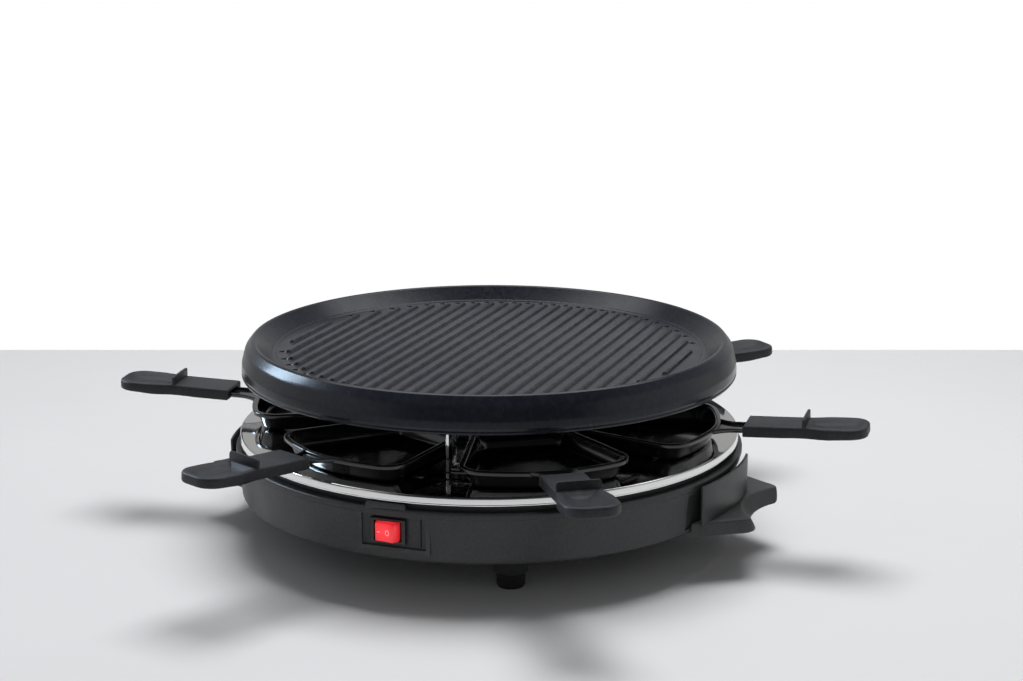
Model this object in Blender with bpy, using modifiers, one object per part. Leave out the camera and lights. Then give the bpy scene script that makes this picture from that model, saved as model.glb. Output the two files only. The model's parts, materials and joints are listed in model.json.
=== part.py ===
"""Round raclette grill for six: ribbed cast grill plate on three posts over a double heating loop,
a polished reflector plate, six small pans with handles, and a moulded base with a rocker switch.

Metres, +Z up. The origin is on the grill's axis at table height. The front, with the switch, is -Y.
An azimuth is measured from the front, positive towards +X.
"""

import math

import bmesh
import bpy
from mathutils import Matrix, Vector

MM = 0.001
DEG = math.pi / 180

# Shared fits and facets
GAP = 0.3 * MM
OVERRUN = 1.0 * MM
SINK = 0.4 * MM
WELD = 0.01 * MM
TURN_STEPS = 48
SMALL_TURN_STEPS = 12
TINY_TURN_STEPS = 8
ARC_STEP = 7.5 * DEG

# Base housing
FLOOR_CLEARANCE = 30.0 * MM
BASE_HEIGHT = 31.0 * MM
RIM_RADIUS = 155.0 * MM
RIM_CHAMFER = 0.8 * MM
RIM_BAND = 3.2 * MM
RIM_STEP = 0.6 * MM
WALL_TAPER = 3.0 * MM
WALL_FOOT_FILLET = 4.0 * MM
WALL_FOOT_STEPS = 3
WALL = 2.4 * MM
DECK = 2.4 * MM
DECK_HOLE_RADIUS = 42.0 * MM
RIM_LEDGE = 6.0 * MM
COLLAR_HEIGHT = 7.7 * MM
COLLAR_WALL = 2.4 * MM
DECK_SEAT_WIDTH = 4.4 * MM
DECK_SEAT = 1.6 * MM

# Reflector plate
REFLECTOR_OVERHANG = 3.5 * MM
REFLECTOR_SHEET = 1.0 * MM
REFLECTOR_FLANGE = 5.2 * MM
REFLECTOR_ROUND = 0.8 * MM
LEAD_HOLE_RADIUS = 4.4 * MM

# Bottom cover, feet and cover screws
COVER_THICKNESS = 1.8 * MM
COVER_CLEARANCE = 0.5 * MM
FOOT_COUNT = 3
FOOT_AZIMUTH = 27 * DEG
FOOT_INSET = 55.0 * MM
FOOT_BOSS_TOP_RADIUS = 12.0 * MM
FOOT_BOSS_TIP_RADIUS = 10.0 * MM
FOOT_TIP_HEIGHT = 9.0 * MM
FOOT_SOLE_RADIUS = 7.4 * MM
FOOT_HEAD_RADIUS = 8.4 * MM
FOOT_SOLE_EDGE = 1.0 * MM
FOOT_STEM_RADIUS = 4.0 * MM
FOOT_STEM_LENGTH = 11.0 * MM
COVER_SCREW_INSET = 29.0 * MM
COVER_SCREW_OFFSET = 60 * DEG
COVER_BOSS_RADIUS = 4.0 * MM
VENT_COUNT = 9
VENT_AZIMUTH = 10 * DEG
VENT_CIRCLE = 62.0 * MM
VENT_LENGTH = 30.0 * MM
VENT_WIDTH = 4.0 * MM
VENT_END_STEPS = 3

# Screws
SCREW_SHANK_RADIUS = 1.4 * MM
SCREW_HEAD_RADIUS = 2.2 * MM
SCREW_HEAD_HEIGHT = 1.6 * MM
COVER_SCREW_LENGTH = 9.0 * MM
POST_SCREW_LENGTH = 8.0 * MM
HANDLE_SCREW_LENGTH = 12.0 * MM

# Posts and heating element
POST_COUNT = 3
POST_AZIMUTH = 7.2 * DEG
POST_HEIGHT = 43.4 * MM
POST_OUTER_RADIUS = 108.0 * MM
POST_WIDTH = 18.4 * MM
POST_SHEET = 2.0 * MM
POST_LUG = 1.8 * MM
POST_TAB_LENGTH = 9.6 * MM
POST_TAB_WIDTH = 11.0 * MM
POST_TAB_SHEET = 1.4 * MM
POST_SCREW_SHARE = 0.55
CHANNEL_WIDTH = 20.0 * MM
CHANNEL_DEPTH = 13.0 * MM
CHANNEL_TAB = 11.0 * MM
CHANNEL_SCREW_SHARE = 0.6
HEATER_HEIGHT = 31.0 * MM
HEATER_TUBE_RADIUS = 3.25 * MM
HEATER_LOOP_INSET = 13.0 * MM
HEATER_LOOP_SPACING = 43.0 * MM
HEATER_LEAD_PITCH = 10.0 * MM
HEATER_BEND = 9.0 * MM
HEATER_TURN_BACK = 35 * DEG
HEATER_LEAD_DROP = 20.0 * MM
HEATER_ARC_STEP = 12 * DEG
HEATER_BEND_STEPS = 4

# Grill plate
PLATE_FLOOR = 4.0 * MM
PLATE_RISE = 8.3 * MM
PLATE_SKIRT = 21.2 * MM
PLATE_FLOOR_RADIUS = 130.0 * MM
PLATE_RIM_WIDTH = 12.8 * MM
PLATE_CREST_WIDTH = 2.4 * MM
PLATE_SHOULDER = 5.2 * MM
PLATE_SHOULDER_DROP = 5.2 * MM
PLATE_FLARE = 2.6 * MM
PLATE_WALL = 3.0 * MM
PLATE_COVE = 3.0 * MM
LOCATING_RIB_WIDTH = 2.4 * MM
LOCATING_RIB_DROP = 3.0 * MM
LOCATING_RIB_CLEARANCE = 1.2 * MM
RIB_PITCH = 8.8 * MM
RIB_HEIGHT = 1.6 * MM
RIB_FOOT = 3.2 * MM
RIB_CREST = 1.4 * MM
RIB_MARGIN = 4.5 * MM
DRAIN_RADIUS = 2.2 * MM
DRAIN_DEPTH = 1.2 * MM
DRAIN_MARGIN = 1.6 * MM

# Pans: the outline is drawn in the pan's own frame, outwards from the axis and across
PAN_DEPTH = 11.5 * MM
PAN_SHEET = 0.9 * MM
PAN_BAND = 3.2 * MM
PAN_LIP = 3.2 * MM
PAN_TAPER = 3.6 * MM
PAN_BOTTOM_ROUND = 2.0 * MM
PAN_CORNER_REACH = 131.0 * MM
PAN_BOW = 17.0 * MM
PAN_SIDE = 74.0 * MM
PAN_CORNER_HALF_WIDTH = 52.4 * MM
PAN_CORNER_RADIUS = 15.0 * MM
PAN_INNER_HALF_WIDTH = 27.5 * MM
PAN_INNER_RADIUS = 11.6 * MM
PAN_EDGE_RADIUS = 60.0 * MM
PAN_SHOULDER_REACH_SHARE = 0.55
PAN_SHOULDER_WIDTH_SHARE = 0.6
PAN_EDGE_STEPS = 2
PAN_CORNER_STEPS = 3
PAN_INNER_STEPS = 2

# Tongue of the pan, a channel that runs into the handle
TONGUE_WIDTH = 15.0 * MM
TONGUE_SHEET = 1.2 * MM
TONGUE_RAIL = 3.4 * MM
TONGUE_ROOT = 3.4 * MM
TONGUE_DROP = 2.6 * MM
TONGUE_SHOWN = 14.0 * MM
TONGUE_FLARE_WIDTH = 28.0 * MM
TONGUE_FLARE_LENGTH = 12.0 * MM
TONGUE_IN_HANDLE = 26.0 * MM

# Pan handle
HANDLE_LENGTH = 72.5 * MM
HANDLE_THICKNESS = 6.8 * MM
HANDLE_TILT = 2.4 * DEG
HANDLE_GRIP_LIFT = 1.8 * MM
HANDLE_RISE = 3.2 * MM
HANDLE_SLEEVE_HALF_WIDTH = 12.8 * MM
HANDLE_GRIP_HALF_WIDTH = 15.6 * MM
HANDLE_FLARE_START_SHARE = 0.5
HANDLE_FLARE_END_SHARE = 0.68
HANDLE_END_RADIUS = 11.0 * MM
HANDLE_SLEEVE_RADIUS = 3.0 * MM
HANDLE_EDGE = 1.1 * MM
HANDLE_CORNER_STEPS = 2
HANDLE_TAB_SHARE = 0.48
HANDLE_TAB_HEIGHT = 5.6 * MM
HANDLE_TAB_SHEET = 1.8 * MM
HANDLE_TAB_CORNER = 3.0 * MM
DISH_LENGTH = 30.0 * MM
DISH_WIDTH = 23.0 * MM
DISH_DEPTH = 2.2 * MM
DISH_INSET = 4.5 * MM
DISH_TURN_STEPS = 14
DISH_RINGS = 10
RIVET_OFFSET = 14.0 * MM
RIVET_HEAD_RADIUS = 2.8 * MM
RIVET_HEAD_HEIGHT = 0.8 * MM
RIVET_SHANK_RADIUS = 1.4 * MM
RIVET_COVER = 0.9 * MM

# Each pan as it lies: heading of its handle, then its shift across and along that heading
PAN_PLACES = [
    (32.6 * DEG, 4.0 * MM, 0.5 * MM),
    (93.8 * DEG, -8.6 * MM, -1.5 * MM),
    (136.5 * DEG, 35.0 * MM, -9.0 * MM),
    (203.5 * DEG, 18.0 * MM, 9.0 * MM),
    (278.0 * DEG, 1.6 * MM, 1.5 * MM),
    (334.5 * DEG, 8.0 * MM, -1.0 * MM),
]

# Carry handles
CARRY_AZIMUTHS = {"right": 90 * DEG, "left": 270 * DEG}
CARRY_CLEARANCE = 0.9 * MM
CARRY_DROP = 1.4 * MM
CARRY_THICKNESS = 9.0 * MM
CARRY_HALF_ANGLE = 21.0 * DEG
CARRY_SHELF = 22.0 * MM
CARRY_HALF_WIDTH = 27.0 * MM
CARRY_CORNER = 7.0 * MM
CARRY_CORNER_STEPS = 4
CARRY_ROUND = 1.6 * MM
CARRY_WALL = 2.4 * MM
SCOOP_SETBACK = 38.0 * MM
SCOOP_RADIUS = 45.0 * MM
SCOOP_FLARE = 7.0 * MM
SCOOP_STEPS = 28
SHIELD_CLEARANCE = 3.0 * MM
SHIELD_WALL = 1.5 * MM
SHIELD_FRONT_ANGLE = 20.0 * DEG
SHIELD_BACK_ANGLE = 7.5 * DEG
SHIELD_DROP = 1.0 * MM
CARRY_POCKET = 0.9 * MM
CARRY_POCKET_HALF_ANGLE = 22.5 * DEG
CARRY_POCKET_TOP = 3.0 * MM
CARRY_SCREW_ANGLE = 12 * DEG
CARRY_SCREW_HEIGHT = 4.2 * MM
CARRY_PAD_RADIUS = 2.7 * MM
CARRY_PAD_DEPTH = 1.8 * MM
CARRY_BOSS_RADIUS = 2.6 * MM
CARRY_BOSS_LENGTH = 14.0 * MM

# Switch, its panel and its rocker
PANEL_LEFT = 20.4 * MM
PANEL_RIGHT = 18.0 * MM
PANEL_LOW = 38.3 * MM
PANEL_HIGH = 56.8 * MM
PANEL_SETBACK = 4.2 * MM
PANEL_PAD = 3.0 * MM
PANEL_SLOT_OFFSET = 14.6 * MM
PANEL_SLOT_WIDTH = 0.9 * MM
PANEL_SLOT_DEPTH = 1.2 * MM
SWITCH_OFFSET = -4.7 * MM
SWITCH_HEIGHT = 47.6 * MM
BEZEL_WIDTH = 21.0 * MM
BEZEL_HEIGHT = 15.0 * MM
BEZEL_THICKNESS = 2.0 * MM
BEZEL_EDGE = 0.5 * MM
SWITCH_BODY_WIDTH = 19.0 * MM
SWITCH_BODY_HEIGHT = 13.4 * MM
SWITCH_BODY_DEPTH = 15.0 * MM
SWITCH_BODY_BACK = 3.0 * MM
SWITCH_WINDOW_WIDTH = 16.6 * MM
SWITCH_WINDOW_HEIGHT = 11.4 * MM
BLADE_TERMINAL_WIDTH = 4.8 * MM
BLADE_TERMINAL_SHEET = 0.8 * MM
BLADE_TERMINAL_LENGTH = 7.0 * MM
BLADE_TERMINAL_PITCH = 9.0 * MM
ROCKER_DEPTH = 1.4 * MM
ROCKER_HALF_WIDTH = 7.5 * MM
ROCKER_CREST_HALF_WIDTH = 5.6 * MM
ROCKER_CREST = 4.9 * MM
ROCKER_VALLEY = 4.2 * MM
ROCKER_WAIST = 1.0 * MM
ROCKER_BACK_HALF_WIDTH = 5.4 * MM
ROCKER_BACK = 3.8 * MM
ROCKER_HEIGHT = 10.6 * MM
ROCKER_EDGE = 0.5 * MM
ROCKER_ON_TILT = 10 * DEG
ROCKER_PIN_RADIUS = 0.9 * MM
ROCKER_PIN_LENGTH = 0.7 * MM
LAMP_RADIUS = 1.3 * MM
LAMP_LENGTH = 6.0 * MM
LAMP_POCKET_HALF_WIDTH = 3.6 * MM
LAMP_POCKET_DEPTH = 5.0 * MM
LAMP_POCKET_HEIGHT = 7.6 * MM
LAMP_SETBACK = 1.6 * MM
LAMP_STALK_RADIUS = 0.5 * MM

# Tab that stands on the rim above the switch
RIM_TAB_WIDTH = 24.0 * MM
RIM_TAB_HEIGHT = 3.2 * MM
RIM_TAB_WALL = 1.8 * MM
RIM_TAB_OFFSET = -5.5 * MM
RIM_TAB_CORNER = 1.6 * MM

# Electrical pieces inside the base, and the cord's inlet
CUTOUT_AZIMUTH = 300 * DEG
CUTOUT_CIRCLE = 92.0 * MM
CUTOUT_RADIUS = 8.0 * MM
CUTOUT_HEIGHT = 7.0 * MM
CUTOUT_STEP = 2.0 * MM
BLOCK_WIDTH = 24.0 * MM
BLOCK_DEPTH = 12.0 * MM
BLOCK_HEIGHT = 9.0 * MM
BLOCK_GAP = 4.0 * MM
INLET_AZIMUTH = 180 * DEG
INLET_HEIGHT = 45.0 * MM
INLET_HOLE_RADIUS = 5.3 * MM
INLET_BORE_RADIUS = 3.4 * MM
INLET_FLANGE_RADIUS = 7.2 * MM
INLET_FLANGE = 2.2 * MM
INLET_NOSE = 7.0 * MM
INLET_NOSE_RADIUS = 4.8 * MM

# Levels and radii that follow from the sizes above
WALL_FOOT_RADIUS = RIM_RADIUS - WALL_TAPER
COLLAR_RADIUS = RIM_RADIUS - RIM_LEDGE
REFLECTOR_RADIUS = COLLAR_RADIUS + REFLECTOR_OVERHANG
DECK_SEAT_RADIUS = COLLAR_RADIUS - DECK_SEAT_WIDTH
FOOT_CIRCLE = RIM_RADIUS - FOOT_INSET
COVER_SCREW_CIRCLE = RIM_RADIUS - COVER_SCREW_INSET
PANEL_FACE = RIM_RADIUS - PANEL_SETBACK
POST_INNER_RADIUS = POST_OUTER_RADIUS - POST_WIDTH
HEATER_LOOP_RADIUS = POST_OUTER_RADIUS - HEATER_LOOP_INSET
HEATER_INNER_LOOP_RADIUS = HEATER_LOOP_RADIUS - HEATER_LOOP_SPACING
PLATE_CREST_RADIUS = PLATE_FLOOR_RADIUS + PLATE_RIM_WIDTH
PLATE_SHOULDER_RADIUS = PLATE_CREST_RADIUS + PLATE_SHOULDER
PLATE_SKIRT_RADIUS = PLATE_SHOULDER_RADIUS + PLATE_FLARE
PAN_OUTER_REACH = PAN_CORNER_REACH + PAN_BOW
PAN_INNER_REACH = PAN_CORNER_REACH - PAN_SIDE
HANDLE_START = PAN_OUTER_REACH + TONGUE_SHOWN
HANDLE_TIP = HANDLE_START + HANDLE_LENGTH
RIM_TOP = FLOOR_CLEARANCE + BASE_HEIGHT
DECK_UNDERSIDE = RIM_TOP - DECK
DECK_SEAT_TOP = DECK_UNDERSIDE - GAP
COLLAR_TOP = RIM_TOP + COLLAR_HEIGHT
REFLECTOR_TOP = COLLAR_TOP + GAP + REFLECTOR_SHEET
COVER_TOP = FLOOR_CLEARANCE + COVER_THICKNESS
COVER_RADIUS = WALL_FOOT_RADIUS - WALL_FOOT_FILLET - COVER_CLEARANCE
HEATER_LEVEL = REFLECTOR_TOP + HEATER_HEIGHT
POST_FOOT = REFLECTOR_TOP + GAP
POST_TOP = REFLECTOR_TOP + POST_HEIGHT
PLATE_UNDERSIDE = POST_TOP + GAP
PLATE_FLOOR_TOP = PLATE_UNDERSIDE + PLATE_FLOOR
PLATE_TOP = PLATE_FLOOR_TOP + PLATE_RISE
PLATE_BOTTOM = PLATE_TOP - PLATE_SKIRT
PAN_BOTTOM = REFLECTOR_TOP + GAP
PAN_TOP = PAN_BOTTOM + PAN_DEPTH
HANDLE_TOP = PAN_TOP + HANDLE_RISE
HANDLE_BOTTOM = HANDLE_TOP - HANDLE_THICKNESS
TONGUE_BOTTOM = PAN_TOP - TONGUE_DROP
CARRY_BOTTOM = FLOOR_CLEARANCE - CARRY_DROP
CARRY_TOP = CARRY_BOTTOM + CARRY_THICKNESS
CARRY_INNER_RADIUS = WALL_FOOT_RADIUS + CARRY_CLEARANCE
CARRY_REACH = CARRY_INNER_RADIUS + CARRY_SHELF
SCOOP_CENTRE = CARRY_REACH + SCOOP_SETBACK
CARRY_SCREW_LEVEL = FLOOR_CLEARANCE + CARRY_SCREW_HEIGHT
CARRY_PAD_FACE = WALL_FOOT_RADIUS - WALL - CARRY_PAD_DEPTH
SHIELD_INNER_RADIUS = RIM_RADIUS + SHIELD_CLEARANCE
SHIELD_OUTER_RADIUS = SHIELD_INNER_RADIUS + SHIELD_WALL
SHIELD_TOP = RIM_TOP - SHIELD_DROP
TERMINAL_AZIMUTH = POST_AZIMUTH + 240 * DEG
BEZEL_BACK = PANEL_FACE + GAP
BEZEL_FACE = BEZEL_BACK + BEZEL_THICKNESS
ROCKER_PIVOT = BEZEL_FACE - ROCKER_DEPTH
HOLE_RADIUS = SCREW_SHANK_RADIUS + GAP


# Scene and materials
def clear_scene():
    """Removes every object and collection that the startup file holds."""
    for item in list(bpy.data.objects):
        bpy.data.objects.remove(item, do_unlink=True)
    for item in list(bpy.data.collections):
        bpy.data.collections.remove(item)


def make_collection(name):
    """A collection linked to the scene."""
    collection = bpy.data.collections.new(name)
    bpy.context.scene.collection.children.link(collection)
    return collection


def make_material(name, color, roughness, metallic=0.0, emission=0.0):
    """A Principled material of one colour."""
    material = bpy.data.materials.new(name)
    material.use_nodes = True
    shader = material.node_tree.nodes["Principled BSDF"]
    shader.inputs["Base Color"].default_value = (*color, 1.0)
    shader.inputs["Roughness"].default_value = roughness
    shader.inputs["Metallic"].default_value = metallic
    if emission:
        shader.inputs["Emission Color"].default_value = (*color, 1.0)
        shader.inputs["Emission Strength"].default_value = emission
    material.diffuse_color = (*color, 1.0)
    return material


# Places
def polar(radius, azimuth, height=0.0):
    """The point at this radius and azimuth, which is zero at the front and grows towards +X."""
    return Vector((radius * math.sin(azimuth), -radius * math.cos(azimuth), height))


def place_at(azimuth):
    """Turns a piece drawn with +X outwards so that it points along the azimuth."""
    return Matrix.Rotation(azimuth - math.pi / 2, 4, "Z")


# Outlines
def rounded_outline(corners):
    """(point, outward normal) pairs round a polygon, anticlockwise, each corner given as
    (x, y, fillet radius, steps)."""
    outline = []
    count = len(corners)
    for index, (x, y, radius, steps) in enumerate(corners):
        corner = Vector((x, y))
        before = Vector(corners[index - 1][:2]) - corner
        after = Vector(corners[(index + 1) % count][:2]) - corner
        room = min(before.length, after.length) / 2
        half = before.angle(after) / 2
        reach = min(radius / math.tan(half), room)
        start = corner + before.normalized() * reach
        fillet = reach * math.tan(half)
        inward = (before.normalized() + after.normalized()).normalized()
        centre = corner + inward * (fillet / math.sin(half))
        first = start - centre
        sweep = math.pi - 2 * half
        for step in range(steps + 1):
            arm = first.copy()
            arm.rotate(Matrix.Rotation(sweep * step / steps, 2))
            outline.append((centre + arm, arm.normalized()))
    return outline


def arc_points(radius, start, end, step=ARC_STEP, centre=(0.0, 0.0)):
    """Points along an arc about the centre, from one angle to another, both included."""
    count = max(1, math.ceil(abs(end - start) / step))
    angles = [start + (end - start) * index / count for index in range(count + 1)]
    return [(centre[0] + radius * math.cos(a), centre[1] + radius * math.sin(a)) for a in angles]


# Meshes
class Workshop:
    """Holds the collections that pieces and cutters go into."""

    def __init__(self):
        self.parts = make_collection("raclette_grill")
        self.cutters = make_collection("cutters")

    def add(self, name, mesh, material=None):
        """A visible piece, or a cutter where no material is given."""
        item = bpy.data.objects.new(name, mesh)
        if material is None:
            self.cutters.objects.link(item)
            item.hide_render = True
            item.display_type = "WIRE"
        else:
            self.parts.objects.link(item)
            mesh.materials.clear()
            mesh.materials.append(material)
        return item

    def turned(self, name, section, material=None, steps=TURN_STEPS, closed=True):
        """A section of (radius, height) points turned about Z. A closed section is a ring's, and an
        open one starts and ends on the axis. Either runs down its outer side."""
        points = [(radius, 0.0, height) for radius, height in section]
        edges = [(index, index + 1) for index in range(len(points) - 1)]
        if closed:
            edges.append((len(points) - 1, 0))
        mesh = bpy.data.meshes.new(name)
        mesh.from_pydata(points, edges, [])
        item = self.add(name, mesh, material)
        screw = item.modifiers.new("Turn", "SCREW")
        screw.steps = steps
        screw.render_steps = steps
        screw.use_merge_vertices = True
        screw.merge_threshold = WELD
        return item

    def extruded(self, name, outlines, bottom, top, material=None):
        """Flat closed outlines, filled and extruded between two heights, as a welded mesh."""
        curve = bpy.data.curves.new(name, "CURVE")
        curve.dimensions = "2D"
        curve.fill_mode = "BOTH"
        curve.extrude = (top - bottom) / 2
        for outline in outlines:
            spline = curve.splines.new("POLY")
            spline.points.add(len(outline) - 1)
            for point, place in zip(spline.points, outline):
                point.co = (place[0], place[1], 0.0, 1.0)
            spline.use_cyclic_u = True
        guide = bpy.data.objects.new(name + "_outline", curve)
        guide.location.z = (top + bottom) / 2
        self.cutters.objects.link(guide)
        return self.solid_from_curve(name, guide, material)

    def tube(self, name, path, radius, material=None):
        """A round tube along a path of points, with filled ends, as a welded mesh."""
        curve = bpy.data.curves.new(name, "CURVE")
        curve.dimensions = "3D"
        curve.bevel_depth = radius
        curve.bevel_resolution = 2
        curve.use_fill_caps = True
        spline = curve.splines.new("POLY")
        spline.points.add(len(path) - 1)
        for point, place in zip(spline.points, path):
            point.co = (*place, 1.0)
        guide = bpy.data.objects.new(name + "_path", curve)
        self.cutters.objects.link(guide)
        return self.solid_from_curve(name, guide, material)

    def solid_from_curve(self, name, guide, material):
        """Replaces a curve object by the mesh it makes, its caps welded."""
        bpy.context.view_layer.update()
        graph = bpy.context.evaluated_depsgraph_get()
        mesh = bpy.data.meshes.new_from_object(guide.evaluated_get(graph))
        mesh.transform(guide.matrix_world)
        curve = guide.data
        bpy.data.objects.remove(guide, do_unlink=True)
        bpy.data.curves.remove(curve)
        form = bmesh.new()
        form.from_mesh(mesh)
        bmesh.ops.remove_doubles(form, verts=form.verts, dist=WELD)
        bmesh.ops.recalc_face_normals(form, faces=form.faces)
        form.to_mesh(mesh)
        form.free()
        return self.add(name, mesh, material)

    def box(self, name, low, high, material=None):
        """A box between two opposite corners."""
        low, high = Vector(low), Vector(high)
        form = bmesh.new()
        place = Matrix.Translation((low + high) / 2) @ Matrix.Diagonal((*(high - low), 1.0))
        bmesh.ops.create_cube(form, size=1.0, matrix=place)
        mesh = bpy.data.meshes.new(name)
        form.to_mesh(mesh)
        form.free()
        return self.add(name, mesh, material)

    def cylinder(self, name, radius, start, end, material=None, steps=SMALL_TURN_STEPS, end_radius=None):
        """A cylinder or cone frustum from one point to another."""
        start, end = Vector(start), Vector(end)
        run = end - start
        turn = Vector((0.0, 0.0, 1.0)).rotation_difference(run).to_matrix().to_4x4()
        place = Matrix.Translation((start + end) / 2) @ turn
        form = bmesh.new()
        bmesh.ops.create_cone(
            form,
            cap_ends=True,
            segments=steps,
            radius1=radius,
            radius2=radius if end_radius is None else end_radius,
            depth=run.length,
            matrix=place,
        )
        mesh = bpy.data.meshes.new(name)
        form.to_mesh(mesh)
        form.free()
        return self.add(name, mesh, material)

    def sector(self, name, section, start, end, material=None, step=ARC_STEP):
        """A closed (radius, height) section swept about Z between two angles from +X, with its ends
        filled."""
        form = bmesh.new()
        corners = [form.verts.new((radius, 0.0, height)) for radius, height in section]
        form.faces.new(corners)
        bmesh.ops.rotate(form, verts=form.verts, cent=(0, 0, 0), matrix=Matrix.Rotation(start, 3, "Z"))
        bmesh.ops.spin(
            form,
            geom=list(form.verts) + list(form.edges) + list(form.faces),
            axis=(0, 0, 1),
            cent=(0, 0, 0),
            angle=end - start,
            steps=max(1, math.ceil((end - start) / step)),
        )
        bmesh.ops.remove_doubles(form, verts=form.verts, dist=WELD)
        bmesh.ops.recalc_face_normals(form, faces=form.faces)
        mesh = bpy.data.meshes.new(name)
        form.to_mesh(mesh)
        form.free()
        return self.add(name, mesh, material)


def join(piece, operation, other):
    """Adds a Boolean of the piece with another object, which only serves as the operand."""
    boolean = piece.modifiers.new(operation.title() + " " + other.name, "BOOLEAN")
    boolean.operation = operation
    boolean.solver = "EXACT"
    boolean.object = other


def cut(piece, *others):
    for other in others:
        join(piece, "DIFFERENCE", other)


def unite(piece, *others):
    for other in others:
        join(piece, "UNION", other)


def round_edges(piece, width, segments=1, angle=40 * DEG):
    """Bevels the edges that are sharper than the angle."""
    bevel = piece.modifiers.new("Edges", "BEVEL")
    bevel.width = width
    bevel.segments = segments
    bevel.limit_method = "ANGLE"
    bevel.angle_limit = angle


def bake(piece):
    """Replaces a piece's mesh by what its modifiers make of it, for a mesh that copies share."""
    bpy.context.view_layer.update()
    graph = bpy.context.evaluated_depsgraph_get()
    mesh = bpy.data.meshes.new_from_object(piece.evaluated_get(graph))
    mesh.name = piece.name
    piece.modifiers.clear()
    piece.data = mesh
    return mesh


def move_mesh(piece, matrix):
    """Moves the piece's own mesh, so that its origin stays where it is."""
    piece.data.transform(matrix)
    piece.data.update()


def shade_round(piece):
    """Smooth shading that keeps edges sharper than 30 degrees."""
    piece.data.shade_smooth()
    piece.data.set_sharp_from_angle(angle=30 * DEG)


# Screws
def screw_mesh(shop, name, length, material):
    """A pan-head screw along Z: its head's underside is at zero and its shank points down."""
    section = [
        (0.0, SCREW_HEAD_HEIGHT),
        (SCREW_HEAD_RADIUS - SCREW_HEAD_HEIGHT / 4, SCREW_HEAD_HEIGHT),
        (SCREW_HEAD_RADIUS, 0.0),
        (SCREW_SHANK_RADIUS, 0.0),
        (SCREW_SHANK_RADIUS, -length),
        (0.0, -length),
    ]
    return shop.turned(name, section, material, TINY_TURN_STEPS, closed=False)


def place_screw(shop, name, point, outward, length, material):
    """A screw whose head sits a gap above the point, with the head towards the outward direction."""
    item = screw_mesh(shop, name, length, material)
    outward = Vector(outward).normalized()
    item.location = Vector(point) + outward * GAP
    item.rotation_mode = "QUATERNION"
    item.rotation_quaternion = Vector((0.0, 0.0, 1.0)).rotation_difference(outward)
    return item


# Grill plate
def grill_plate(shop, material):
    """Cast plate: dished floor with a raised rim, a flared skirt, a locating rib under the floor,
    parallel ribs on top and a drain dimple at the ends of the outer grooves."""
    locating_outer = POST_OUTER_RADIUS + LOCATING_RIB_CLEARANCE + LOCATING_RIB_WIDTH
    locating_inner = POST_OUTER_RADIUS + LOCATING_RIB_CLEARANCE
    crest_inner = PLATE_CREST_RADIUS - PLATE_CREST_WIDTH / 2
    crest_outer = PLATE_CREST_RADIUS + PLATE_CREST_WIDTH / 2
    section = [
        (0.0, PLATE_FLOOR_TOP),
        (PLATE_FLOOR_RADIUS - PLATE_COVE, PLATE_FLOOR_TOP),
        (PLATE_FLOOR_RADIUS, PLATE_FLOOR_TOP + PLATE_COVE / 3),
        (crest_inner - PLATE_CREST_WIDTH / 2, PLATE_TOP - PLATE_CREST_WIDTH / 2),
        (crest_inner, PLATE_TOP),
        (crest_outer, PLATE_TOP),
        (PLATE_SHOULDER_RADIUS - PLATE_SHOULDER_DROP / 3, PLATE_TOP - PLATE_SHOULDER_DROP / 3),
        (PLATE_SHOULDER_RADIUS, PLATE_TOP - PLATE_SHOULDER_DROP),
        (PLATE_SKIRT_RADIUS, PLATE_BOTTOM + PLATE_WALL / 3),
        (PLATE_SKIRT_RADIUS - PLATE_WALL / 3, PLATE_BOTTOM),
        (PLATE_SKIRT_RADIUS - PLATE_WALL, PLATE_BOTTOM),
        (PLATE_SHOULDER_RADIUS - PLATE_WALL, PLATE_TOP - PLATE_SHOULDER_DROP - PLATE_WALL),
        (PLATE_CREST_RADIUS, PLATE_TOP - PLATE_SHOULDER_DROP),
        (PLATE_FLOOR_RADIUS + PLATE_COVE, PLATE_UNDERSIDE),
        (locating_outer, PLATE_UNDERSIDE),
        (locating_outer, PLATE_UNDERSIDE - LOCATING_RIB_DROP),
        (locating_inner, PLATE_UNDERSIDE - LOCATING_RIB_DROP),
        (locating_inner, PLATE_UNDERSIDE),
        (0.0, PLATE_UNDERSIDE),
    ]
    plate = shop.turned("grill_plate", section, material, closed=False)
    unite(plate, rib_set(shop))
    for dimple in drain_dimples(shop):
        cut(plate, dimple)
    shade_round(plate)
    return plate


def rib_reach():
    """The radius that the ribs' ends keep to."""
    return PLATE_FLOOR_RADIUS - PLATE_COVE - RIB_MARGIN


def rib_places():
    """The x of each parallel rib, symmetric about the middle."""
    reach = rib_reach() - RIB_FOOT
    count = int(reach / RIB_PITCH - 0.5)
    return [(index + 0.5) * RIB_PITCH for index in range(-count - 1, count + 1)]


def rib_set(shop):
    """All the ribs as one operand: tapered bars along Y that follow the round floor."""
    form = bmesh.new()
    height = RIB_HEIGHT + SINK
    for x in rib_places():
        half_length = math.sqrt(rib_reach() ** 2 - x**2)
        place = Matrix.Translation((x, 0.0, PLATE_FLOOR_TOP - SINK + height / 2))
        scale = Matrix.Diagonal((RIB_FOOT, 2 * half_length, height, 1.0))
        made = bmesh.ops.create_cube(form, size=1.0, matrix=place @ scale)
        for corner in made["verts"]:
            if corner.co.z > PLATE_FLOOR_TOP:
                corner.co.x = x + math.copysign(RIB_CREST / 2, corner.co.x - x)
                corner.co.y -= math.copysign(RIB_HEIGHT, corner.co.y)
    mesh = bpy.data.meshes.new("plate_ribs")
    form.to_mesh(mesh)
    form.free()
    return shop.add("plate_ribs", mesh)


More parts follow.
